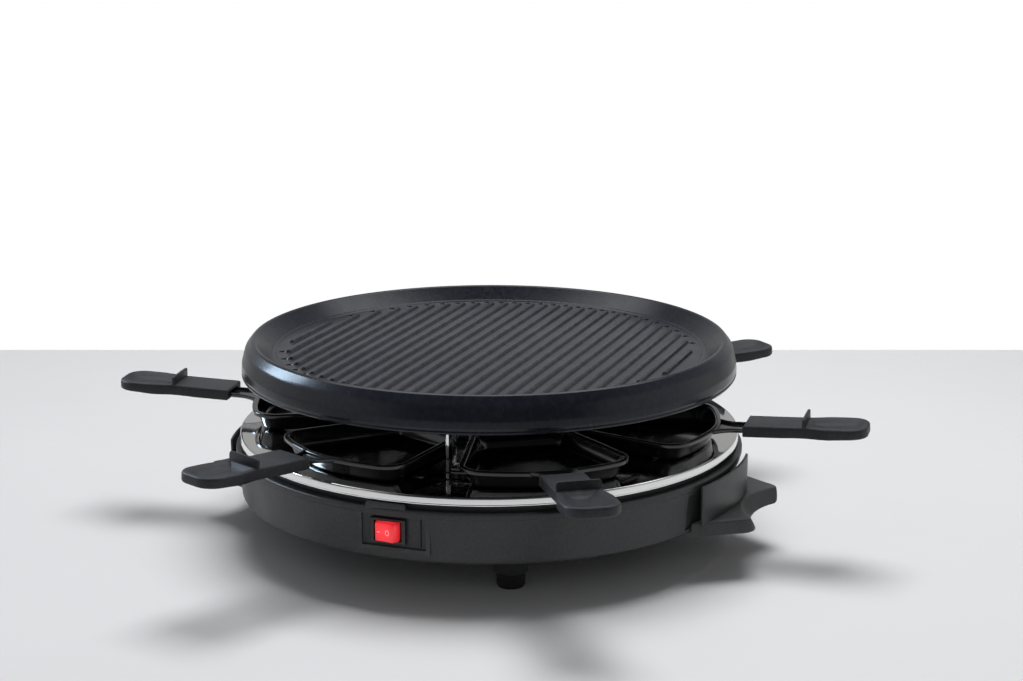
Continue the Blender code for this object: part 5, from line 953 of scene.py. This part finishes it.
def make_housing(sizes, panel):
    """The base's drum: banded rim, slightly flared wall, switch panel with its slot, handle pockets."""
    rim, seat, face = sizes.top, sizes.deck_low - 0.3 * MM, -panel.panel_face
    under_band = rim - sizes.band
    housing = turned("base", profile(
        (sizes.deck_radius, rim, (0.3, 0, 0.25)),
        (sizes.radius, rim, (0, 0, 0.9)),
        (sizes.radius, under_band, (0, 0, 0.5)),
        (sizes.radius - sizes.step, under_band, (0, -0.5, 0.3)),
        (sizes.radius - sizes.step, under_band - sizes.step, (0, 0, 0.2)),
        (sizes.foot_radius, sizes.bottom, (-0.1, 1.2, 3.4), (-4.4, 0.1, 0.5), (-4.4, 2.4, 0.5), (-2.4, 5.0, 1.5)),
        (sizes.foot_radius, seat, (0, -1.6, 0.8)),
        (sizes.deck_radius, seat, (-4.4, -1.6), (-4.4, 0), (0.3, 0)),
    ))
    backing = block("backing", (-panel.panel_left - sizes.wall, face - 1.6 * MM, panel.panel_low - sizes.wall),
                    (panel.panel_right + sizes.wall, face + sizes.wall, seat - 1.8 * MM))
    cut(housing, backing, operation="UNION")

    tab_low, tab_high = sizes.tab_offset - sizes.tab_width / 2, sizes.tab_offset + sizes.tab_width / 2
    tab = block("rim_tab", (tab_low, -sizes.radius + 0.8 * MM, rim - 1.0 * MM),
                (tab_high, -sizes.radius + 2.6 * MM, rim + sizes.tab_height))
    enter(tab)
    round_edges(lambda centre, edge: centre.z > rim + 0.9 * sizes.tab_height
                and abs(centre.x - sizes.tab_offset) > 5 * MM, 1.6 * MM, 8)
    round_edges(lambda centre, edge: sharp(edge) and centre.z > rim, 0.35 * MM, 3)
    leave()

    window = block("panel", (-panel.panel_left, face - 8 * MM, panel.panel_low),
                   (panel.panel_right, face, panel.panel_high))
    level = (panel.panel_low + panel.panel_high) / 2
    enter(window)
    round_edges(lambda centre, edge: abs(abs(centre.x) - 19.2 * MM) < 1.5 * MM
                and abs(centre.z - level) < 1 * MM, 0.9 * MM, 5)
    leave()
    slot = block("slot", (panel.slot_place - panel.slot_width / 2, face - 4 * MM, panel.panel_low + 1.4 * MM),
                 (panel.slot_place + panel.slot_width / 2, face + 1.2 * MM, panel.panel_high - 1.4 * MM))
    body = middle("switch_frame")
    opening = block("opening", (body.x - 9.7 * MM, face - 6 * MM, body.z - 6.9 * MM),
                    (body.x + 9.7 * MM, face + 12 * MM, body.z + 6.9 * MM))
    inlet = turned("inlet", profile((0, 0, (5.3, 130), (5.3, 170))), SMALL_STEPS, capped=True)
    put(inlet, Matrix.Translation((0, 0, middle("cord_inlet_bush").z)) @ Matrix.Rotation(-math.pi / 2, 4, "X"))
    cut(housing, window, slot, opening, inlet)
    levels = (sizes.bottom + 4 * MM, rim - 6.2 * MM)
    inner = [wall_radius(sizes, height) - 1.3 * MM for height in levels]
    for side in (0.0, math.pi):
        pocket = turned("pocket", [(inner[0], levels[0]), (170 * MM, levels[0]), (170 * MM, levels[1]),
                                   (inner[1], levels[1])])
        sector(pocket, -22.5 * DEG, 22.5 * DEG, side)
        cut(housing, pocket)
    round_by_angle(housing, 0.22 * MM, 2, 55 * DEG)
    join(housing, tab)
    smooth(housing, 28 * DEG)
    dress(housing, "base", "base_plastic", "base_housing")


def make_deck(sizes):
    """The deck inside the base, with its collar under the reflector and its screw bosses."""
    low_z, top = sizes.deck_low, sizes.deck_low + sizes.wall
    inside = sizes.deck_radius - sizes.wall
    deck = turned("deck", profile(
        (sizes.deck_radius, low_z, (0, 0, 0.4)), (sizes.deck_radius, sizes.collar_top, (0, 0, 0.5)),
        (inside, sizes.collar_top, (0, 0, 0.5)), (inside, top, (0, 0, 1.2)),
        (sizes.deck_hole, top, (0, 0, 0.6)), (sizes.deck_hole, low_z, (0, 0, 0.4)),
    ))
    bosses = []
    for number in range(1, 4):
        for screw, bottom in ((f"post_screw_{number}", low(f"post_screw_{number}").z - 0.3 * MM),
                              (f"cover_screw_{number}", high("bottom_cover").z + 0.3 * MM)):
            if bottom > low_z:
                bottom = low_z - 3.0 * MM
            boss = turned("boss", profile(
                (0, bottom, (1.5, 0), (4.0, 0, 0.5)), (0, low_z, (4.2, -1.2, 1.0), (5.4, 0.4), (1.5, 0.4)),
            ), SMALL_STEPS)
            put(boss, at(screw))
            bosses.append(boss)
    join(deck, *bosses)
    smooth(deck)
    dress(deck, "base", "base_plastic", "deck_plate")


def make_reflector(sizes):
    """The bright plate with its rounded, turned-down and beaded edge."""
    radius, top, bottom, sheet = sizes.reflector_radius, sizes.reflector_top, sizes.reflector_low, 1.0 * MM
    groove = ((118, 0, 6), (120.5, -0.7, 3), (124, -0.7, 3), (126.5, 0, 6))
    reflector = turned("reflector", profile(
        (0, top, (4, 0), *groove), (radius, top, (-0.1, 0, 1.3)),
        (radius, bottom, (-0.1, 1.0, 0.6), (0, 0.7, 0.4), (0, 0, 0.4)), (radius - sheet, bottom, (0, 0, 0.3)),
        (radius - sheet, top - sheet, (0, 0, 0.7)), (0, top - sheet, *reversed(groove), (4, 0)),
    ), capped=True, rounding=5)
    centre = middle("terminal_block")
    across = Vector((-centre.y, centre.x, 0.0)).normalized() * 5 * MM
    for side in (1, -1):
        hole = turned("lead_hole", profile((0, 0, (4.4, 60), (4.4, 80))), SMALL_STEPS, capped=True)
        put(hole, Matrix.Translation(across * side) @ at("terminal_block"))
        cut(reflector, hole)
    smooth(reflector)
    dress(reflector, "base", "polished_steel", "reflector_plate")


def make_cover(sizes):
    """The bottom cover: ribbed disc with long vents and three tapered foot bosses."""
    radius, bottom, top = high("bottom_cover").y, sizes.bottom, high("bottom_cover").z
    cover = turned("bottom_cover", profile(
        (0, bottom, (8, 0.3), (30, 0.3, 1), (31, 0, 1)),
        (radius, bottom, (-6, 0, 1), (-4.6, 0.4, 0.6), (-0.4, 0.4, 0.4)),
        (radius, top, (0, -0.2, 0.2), (-1, 0)), (0, top, (8, 0)),
    ), capped=True)
    vents = []
    for number in range(9):
        vent = block("vent", (47 * MM, -2 * MM, bottom - 3 * MM), (77 * MM, 2 * MM, top + 3 * MM))
        enter(vent)
        round_edges(lambda centre, edge: abs(centre.z - (bottom + top) / 2) < 0.5 * MM, 1.95 * MM, 8)
        leave()
        put(vent, Matrix.Rotation((number * 40 - 80) * DEG, 4, "Z"))
        vents.append(vent)
    join(*vents)
    cut(cover, vents[0])
    round_by_angle(cover, 0.25 * MM, 2, 60 * DEG)
    bosses = []
    for number in range(1, 4):
        boss = turned("foot_boss", profile(
            (0, sizes.foot_height, (4.3, 0.3), (10.0, 0.3, 0.9)),
            (0, bottom, (11.9, -1.6, 1.8), (14.2, 0.1), (4.3, 0.1)),
        ), 64, rounding=6)
        put(boss, at(f"rubber_foot_{number}"))
        bosses.append(boss)
    join(cover, *bosses)
    smooth(cover)
    dress(cover, "base", "base_plastic", "bottom_cover")


def make_feet(sizes):
    """The rubber feet, one moulded and copied: ringed sole, bulged side, stem."""
    foot = turned("foot", profile(
        (0, 0, (1.6, 0.7), (3.2, 0.7, 0.2), (3.8, 0, 0.3), (7.3, 0, 0.9), (8.3, 1.6, 1.2), (8.4, 4.5, 3),
         (8.1, 5.4, 0.4), (8.4, 6.3, 0.4)),
        (0, sizes.foot_height, (8.4, 0, 0.5), (4.0, 0, 0.4)),
        (0, high("rubber_foot_1").z, (3.9, -1.5, 0.5), (3.0, 0, 0.3), (1.6, 0)),
    ), 64, capped=True)
    smooth(foot)
    for number in range(1, 4):
        one = copy_of(foot, f"foot_{number}")
        put(one, at(f"rubber_foot_{number}"))
        dress(one, "base", "foot_rubber", f"rubber_foot_{number}")
    remove(foot)


def make_carry_handle(sizes, side):
    """A carry handle on +X or, half a turn further, on -X: a scooped shelf and an upright shield."""
    bottom, top = sizes.bottom, sizes.bottom + sizes.thickness
    shelf = ring("carry_handle", sizes.inner_radius, 190 * MM, bottom, top)
    inner = polar(sizes.inner_radius, sizes.half_angle)
    along = Vector((sizes.reach, sizes.half_width, 0.0)) - inner
    enter(shelf)
    trim(((0, 0, 0), (-1, 0, 0)), ((sizes.reach, 0, 0), (1, 0, 0)))
    for sign in (1, -1):
        trim(((0, 0, 0), polar(1.0, (sizes.half_angle + math.pi / 2) * sign)),
             ((inner.x, inner.y * sign, 0), (-along.y, along.x * sign, 0)))
    round_edges(lambda centre, edge: abs(edge.verts[0].co.z - edge.verts[1].co.z) > sizes.thickness / 2
                and centre.x > sizes.reach - 1 * MM and abs(centre.y) > sizes.half_width - 1 * MM, sizes.corner, 14)
    leave()
    scoop = turned("scoop", [(sizes.scoop_radius, bottom - OVERRUN),
                             (sizes.scoop_radius + sizes.scoop_flare, top + OVERRUN)], 160, capped=True)
    put(scoop, Matrix.Translation((sizes.scoop_centre, 0, 0)))
    hollow = ring("hollow", sizes.inner_radius + 2.6 * MM, sizes.inner_radius + 8.8 * MM,
                  bottom - OVERRUN, bottom + 6.2 * MM)
    sector(hollow, -12.5 * DEG, 12.5 * DEG)
    cut(shelf, scoop, hollow)
    modify(shelf, "REMESH", mode="VOXEL", voxel_size=sizes.edge / 4)
    modify(shelf, "SMOOTH", factor=0.5, iterations=30)
    modify(shelf, "DECIMATE", ratio=0.3)

    radius, inside = sizes.shield_radius, sizes.shield_radius - sizes.shield_wall
    front, back = (sizes.shield_front, sizes.shield_back)[::side]
    shield = turned("shield", profile(
        (inside, top, (0, -1.2)), (radius, top, (0, -1.2)),
        (radius, sizes.shield_top, (0, 0, 0.5)), (inside, sizes.shield_top, (0, 0, 0.5)),
    ))
    sector(shield, -front, back)
    round_by_angle(shield, 0.3 * MM, 3, 60 * DEG)
    join(shelf, shield)
    smooth(shelf, 30 * DEG)
    if side < 0:
        put(shelf, Matrix.Rotation(math.pi, 4, "Z"))
    return shelf


def make_screw(shank_length):
    """A pan-head screw with a cross recess and a thread, its head's top at the origin, facing up."""
    head, shank, pitch = 1.6, 1.4, 0.9
    rows = [(0.5, 0.0), (1.3, -0.02, 1.0), (2.2, -0.75, 0.5), (2.2, -head, 0.15), (shank, -head, 0.1)]
    for turn in range(int(shank_length / pitch) - 2):
        level = -head - (turn + 0.6) * pitch
        rows += [(shank - 0.3, level), (shank, level - 0.4)]
    rows += [(shank - 0.3, 1.2 - head - shank_length), (0.5, 0.3 - head - shank_length)]
    screw = turned("screw", profile((0, 0, *rows)), SMALL_STEPS, capped=True)
    for turn in (0, math.pi / 2):
        bar = block("recess", (-1.25 * MM, -0.24 * MM, -0.75 * MM), (1.25 * MM, 0.24 * MM, 0.5 * MM))
        put(bar, Matrix.Rotation(turn + 0.4, 4, "Z"))
        cut(screw, bar)
    smooth(screw, 34 * DEG)
    return screw


def make_marks(sizes):
    """The ring and the dash on the rocker's two halves."""
    rocker = next(joint for joint in frame["joints"] if joint["name"] == "switch_rocker_turn")
    pivot = Matrix.Translation(rocker["pos_m"]) @ Matrix.Rotation(-10 * DEG, 4, "Z")
    half, bow = 5.6 * MM, 0.7 * MM
    slope = math.atan2(bow, half)
    line, radius, sunk, proud = sizes.mark_line, sizes.ring_radius, -0.1 * MM, 0.07 * MM
    circle = turned("mark_ring", [(radius - line / 2, sunk), (radius + line / 2, sunk),
                                  (radius + line / 2, proud, 0.05 * MM), (radius - line / 2, proud, 0.05 * MM)],
                    SMALL_STEPS)
    put(circle, Matrix.Diagonal((0.95, 1.15, 1.0, 1.0)))
    dash = block("mark_dash", (-sizes.dash / 2, -line * 0.6, sunk), (sizes.dash / 2, line * 0.6, proud))
    enter(dash)
    round_edges(lambda centre, edge: centre.z > 0, 0.05 * MM, 2)
    leave()
    for piece, x, sign in ((circle, 1.9 * MM, 1), (dash, -3.6 * MM, -1)):
        y = -(4.2 * MM + bow * abs(x) / half)
        spin = Matrix.Rotation(-slope * sign, 4, "Z") @ Matrix.Rotation(math.pi / 2, 4, "X")
        put(piece, pivot @ Matrix.Translation((x, y, 0.0)) @ spin)
        smooth(piece)
        dress(piece, "rocker", "lit_red", finish="mark")


# Operators
class RACLETTE_OT_stage(bpy.types.Operator):
    """Set up the floor, the light, the world and the camera of the product picture"""

    bl_idname = "raclette.stage"
    bl_label = "Stage"

    def execute(self, context):
        make_stage(context.scene, context.scene.raclette_stage)
        return {"FINISHED"}


class RACLETTE_OT_plate(bpy.types.Operator):
    """Model the cast grill plate with its ribs and drain dimples"""

    bl_idname = "raclette.plate"
    bl_label = "Grill plate"

    def execute(self, context):
        make_plate(context.scene.raclette_plate)
        return {"FINISHED"}


class RACLETTE_OT_pans(bpy.types.Operator):
    """Model a pan with its handle and rivet, and copy them to the six places"""

    bl_idname = "raclette.pans"
    bl_label = "Pans and handles"

    def execute(self, context):
        sizes, grip = context.scene.raclette_pan, context.scene.raclette_handle
        pan, handle, rivet = make_pan(sizes, grip), make_handle(grip, sizes), make_rivet()
        head = Vector((grip.start + grip.rivet_offset, 0.0, middle("handle_rivet_1").z))
        about = tilted(grip, sizes) @ head
        for number in range(1, PAN_COUNT + 1):
            turn = Matrix.Rotation(slide_angle(number), 4, "Z")
            place = middle(f"handle_rivet_{number}")
            local = turn.inverted() @ Vector((place.x, place.y, 0.0))
            whole = turn @ Matrix.Translation((local.x - about.x, local.y, 0.0))
            for model, name, slot, node, matrix in (
                (pan, "pan_shell", "pan_coating", "pan", whole),
                (handle, "grip", "handle_plastic", "pan_handle", whole),
                (rivet, "rivet", "bare_steel", "handle_rivet", at(f"handle_rivet_{number}")),
            ):
                piece = copy_of(model, f"{name}_{number}")
                put(piece, matrix)
                dress(piece, f"pan_unit_{number}", slot, f"{node}_{number}")
        remove(pan, handle, rivet)
        return {"FINISHED"}


class RACLETTE_OT_base(bpy.types.Operator):
    """Model the base's housing, deck, reflector plate, bottom cover and feet"""

    bl_idname = "raclette.base"
    bl_label = "Base"

    def execute(self, context):
        make_housing(context.scene.raclette_base, context.scene.raclette_switch)
        for make in (make_deck, make_reflector, make_cover, make_feet):
            make(context.scene.raclette_base)
        return {"FINISHED"}


class RACLETTE_OT_carry_handles(bpy.types.Operator):
    """Model the two scooped carry handles with their shields"""

    bl_idname = "raclette.carry_handles"
    bl_label = "Carry handles"

    def execute(self, context):
        for side, name in ((1, "right"), (-1, "left")):
            handle = make_carry_handle(context.scene.raclette_carry, side)
            handle.name = f"carry_{name}"
            dress(handle, "base", "base_plastic", f"carry_handle_{name}")
        return {"FINISHED"}


class RACLETTE_OT_heater(bpy.types.Operator):
    """Round the posts' edges, smooth the heating tube, and dress the parts inside the base"""

    bl_idname = "raclette.heater"
    bl_label = "Heater, posts and inner parts"

    def execute(self, context):
        for node, slot, width in (
            ("post_1", "polished_steel", 0.35), ("post_2", "polished_steel", 0.35),
            ("terminal_post", "polished_steel", 0.35), ("terminal_block", "ceramic", 0.5),
            ("thermal_cutout", "bare_steel", 0.4), ("cord_inlet_bush", "foot_rubber", 0.3),
        ):
            piece = dressed_copy(node, f"{node}_dressed", width * MM, 3)
            smooth(piece, 34 * DEG)
            dress(piece, "base", slot, node)
        tube = dressed_copy("heating_element", "heating_tube")
        modify(tube, "SUBSURF", levels=1, render_levels=1)
        smooth(tube, 60 * DEG)
        dress(tube, "base", "element_steel", "heating_element")
        return {"FINISHED"}


class RACLETTE_OT_switch(bpy.types.Operator):
    """Round the switch's parts and add the rocker's two generic marks"""

    bl_idname = "raclette.switch"
    bl_label = "Switch"

    def execute(self, context):
        for node, name, slot, body, width in (
            ("switch_frame", "switch_bezel", "switch_black", "base", 0.35),
            ("switch_rocker", "rocker_cap", "lit_red", "rocker", 0.35),
            ("indicator_lamp", "lamp", "lit_red", "base", 0.3),
        ):
            piece = dressed_copy(node, name, width * MM, 4)
            smooth(piece, 34 * DEG)
            dress(piece, body, slot, node)
        make_marks(context.scene.raclette_switch)
        return {"FINISHED"}


class RACLETTE_OT_screws(bpy.types.Operator):
    """Model a cross-recess screw for each length and copy it to its places"""

    bl_idname = "raclette.screws"
    bl_label = "Screws"

    def place_of(self, node):
        """Where a screw's head lies and faces: down, up, or outwards at the carry handles."""
        place = middle(node)
        if node.startswith("cover"):
            return Matrix.Translation((place.x, place.y, low(node).z)) @ Matrix.Rotation(math.pi, 4, "X")
        if node.startswith("post"):
            return Matrix.Translation((place.x, place.y, high(node).z))
        angle, head = 12 * DEG, 2.2 * MM
        reach = (min(abs(low(node).x), abs(high(node).x)) + head * math.sin(angle)) / math.cos(angle)
        turn = math.atan2(math.copysign(math.sin(angle), place.y), math.copysign(math.cos(angle), place.x))
        outwards = Matrix.Translation((reach, 0.0, place.z)) @ Matrix.Rotation(-math.pi / 2, 4, "Y")
        return Matrix.Rotation(turn, 4, "Z") @ outwards

    def execute(self, context):
        for shank_length, nodes in (
            (9, [f"cover_screw_{number}" for number in range(1, 4)]),
            (8, [f"post_screw_{number}" for number in range(1, 4)]),
            (12, [f"carry_screw_{side}_{end}" for side in ("right", "left") for end in ("front", "back")]),
        ):
            model = make_screw(shank_length)
            for node in nodes:
                piece = copy_of(model, f"{node}_head")
                put(piece, self.place_of(node))
                dress(piece, "base", "bare_steel", node)
            remove(model)
        return {"FINISHED"}


# The stage
CAMERA_PLACE = Vector((0.4446, -1.2216, 0.4358))
CAMERA_HEADING = 19.40 * DEG
CAMERA_PITCH = -13.57 * DEG
CAMERA_LENS = 77.1


def make_camera(scene):
    camera = bpy.data.cameras.new("camera")
    camera.lens = CAMERA_LENS
    camera.sensor_width = 36.0
    camera.clip_start = 0.01
    camera.dof.use_dof = False
    seen = bpy.data.objects.new("camera", camera)
    seen.location = CAMERA_PLACE
    seen.rotation_euler = (math.pi / 2 + CAMERA_PITCH, 0.0, CAMERA_HEADING)
    scene.collection.objects.link(seen)
    scene.camera = seen


def make_lamp(scene, name, size, power, place, target, tint=None):
    """A rectangular lamp. A tinted one is seen in reflections only, a plain one never is."""
    lamp = bpy.data.lights.new(name, "AREA")
    lamp.shape = "RECTANGLE"
    lamp.size, lamp.size_y = size
    lamp.energy = power
    lamp.color = tint or (1.0, 1.0, 1.0)
    hung = bpy.data.objects.new(name, lamp)
    hung.location = place
    hung.rotation_euler = (Vector(target) - Vector(place)).to_track_quat("-Z", "Y").to_euler()
    hung.visible_glossy = tint is not None
    hung.visible_diffuse = tint is None
    scene.collection.objects.link(hung)


def make_world(scene, ambient):
    """White to the camera, an even light, and in reflections a pale horizon that is darker in front
    and above, with a window overhead and behind."""
    world = bpy.data.worlds.new("studio")
    scene.world = world
    world.use_nodes = True
    tree = Tree(world.node_tree)
    tree.nodes.clear()
    direction = tree.node("ShaderNodeTexCoord", {}, "Generated")
    height = tree.node("ShaderNodeSeparateXYZ", {"Vector": direction}, "Z")

    def fade(source, *limits):
        return tree.ranged(source, *limits, interpolation_type="SMOOTHSTEP")

    def along(x, y):
        return tree.node("ShaderNodeVectorMath", {0: direction, 1: (x, y, 0.0)}, "Value", operation="DOT_PRODUCT")

    def background(strength):
        return tree.node("ShaderNodeBackground", {"Color": (1.0, 1.0, 1.0), "Strength": strength})

    def chosen(ray, first, second):
        factor = tree.node("ShaderNodeLightPath", {}, ray)
        return tree.node("ShaderNodeMixShader", {0: factor, 1: first, 2: second})

    cosine, sine = math.cos(CAMERA_HEADING), math.sin(CAMERA_HEADING)
    behind = along(-sine, cosine)
    sides = tree.combined("MAXIMUM", fade(along(cosine, sine), 0.55, 0.95, 0.0, 0.55),
                          fade(along(-cosine, -sine), 0.50, 0.90, 0.0, 0.55))
    horizon = tree.combined("MAXIMUM", sides, fade(behind, 0.0, 0.9, 0.05, 0.38))
    horizon = tree.combined("MULTIPLY", horizon, fade(height, 0.25, 0.80, 1.0, 0.35))
    window = tree.combined("MULTIPLY", fade(height, 0.66, 0.80, 0.0, 1.0), fade(height, 0.92, 0.99, 2.6, 0.0))
    window = tree.combined("MULTIPLY", window, fade(behind, 0.0, 0.3, 0.0, 1.0))
    mirrored = background(tree.combined("ADD", horizon, window))
    unseen = chosen("Is Glossy Ray", background(ambient), mirrored)
    output = tree.nodes.new("ShaderNodeOutputWorld")
    tree.fill(output.inputs["Surface"], chosen("Is Camera Ray", unseen, background(1.0)))


def make_floor(sizes):
    """A plain pale floor that ends behind the object where the picture's background begins."""
    floor = flat_grid("floor", 12, 8, (-3.0, 3.0), (-0.6, sizes.floor_reach))
    leave()
    put(floor, Matrix.Translation((CAMERA_PLACE.x, CAMERA_PLACE.y, 0.0)) @ Matrix.Rotation(CAMERA_HEADING, 4, "Z"))
    shader = Shader("Floor")
    tone = sizes.floor
    floor.data.materials.append(shader.surface(
        Base_Color=shader.mixed(shader.clouds(3.0, 3.0, 0.35, 0.65, 0.0, 1.0), tinted(tone, 0.985), tinted(tone, 1.01)),
        Roughness=shader.clouds(40.0, 4.0, 0.3, 0.7, 0.6, 0.7),
        Normal=shader.bump(shader.noise(500.0, 2.0), 0.05, 0.05 * MM), Specular_IOR_Level=0.2,
    ))


def make_stage(scene, sizes):
    scene.view_settings.view_transform = "Standard"
    make_camera(scene)
    make_world(scene, sizes.ambient)
    make_floor(sizes)
    power = sizes.lamp_power
    make_lamp(scene, "overhead", (1.0, 0.8), power, (0.05, 0.20, 1.6), (0.0, 0.0, 0.05))
    make_lamp(scene, "left", (0.40, 0.46), power * 0.32, (-1.12, 0.06, 0.60), (0.0, 0.0, 0.11), (0.62, 0.80, 1.0))
    make_lamp(scene, "front", (1.2, 0.6), power * 0.10, (0.8, -1.9, 1.1), (0.0, 0.0, 0.05))


class RACLETTE_PT_sidebar(bpy.types.Panel):
    """The raclette grill's pieces and sizes"""

    bl_label = "Raclette grill"
    bl_idname = "RACLETTE_PT_sidebar"
    bl_space_type = "VIEW_3D"
    bl_region_type = "UI"
    bl_category = "Raclette"

    def draw(self, context):
        for operator, groups in STEPS:
            box = self.layout.box()
            box.operator(operator)
            for group in groups:
                settings = getattr(context.scene, group)
                for name in type(settings).__annotations__:
                    box.prop(settings, name)


GROUPS = {
    "raclette_plate": PlateSizes,
    "raclette_pan": PanSizes,
    "raclette_handle": HandleSizes,
    "raclette_base": BaseSizes,
    "raclette_carry": CarrySizes,
    "raclette_switch": SwitchSizes,
    "raclette_finish": FinishColours,
    "raclette_stage": StageSettings,
}

STEPS = (
    ("raclette.stage", ("raclette_stage", "raclette_finish")),
    ("raclette.base", ("raclette_base",)),
    ("raclette.carry_handles", ("raclette_carry",)),
    ("raclette.heater", ()),
    ("raclette.switch", ("raclette_switch",)),
    ("raclette.screws", ()),
    ("raclette.plate", ("raclette_plate",)),
    ("raclette.pans", ("raclette_pan", "raclette_handle")),
)

CLASSES = (
    *GROUPS.values(),
    RACLETTE_OT_stage,
    RACLETTE_OT_base,
    RACLETTE_OT_carry_handles,
    RACLETTE_OT_heater,
    RACLETTE_OT_switch,
    RACLETTE_OT_screws,
    RACLETTE_OT_plate,
    RACLETTE_OT_pans,
    RACLETTE_PT_sidebar,
)


def register():
    for each in CLASSES:
        bpy.utils.register_class(each)
    for name, group in GROUPS.items():
        setattr(bpy.types.Scene, name, bpy.props.PointerProperty(type=group))


def unregister():
    for name in GROUPS:
        delattr(bpy.types.Scene, name)
    for each in reversed(CLASSES):
        bpy.utils.unregister_class(each)


def main():
    """Builds everything in order."""
    register()
    for operator, _ in STEPS:
        group, name = operator.split(".")
        if getattr(getattr(bpy.ops, group), name)() != {"FINISHED"}:
            raise RuntimeError(f"{operator} did not finish")


if __name__ == "__main__":
    main()
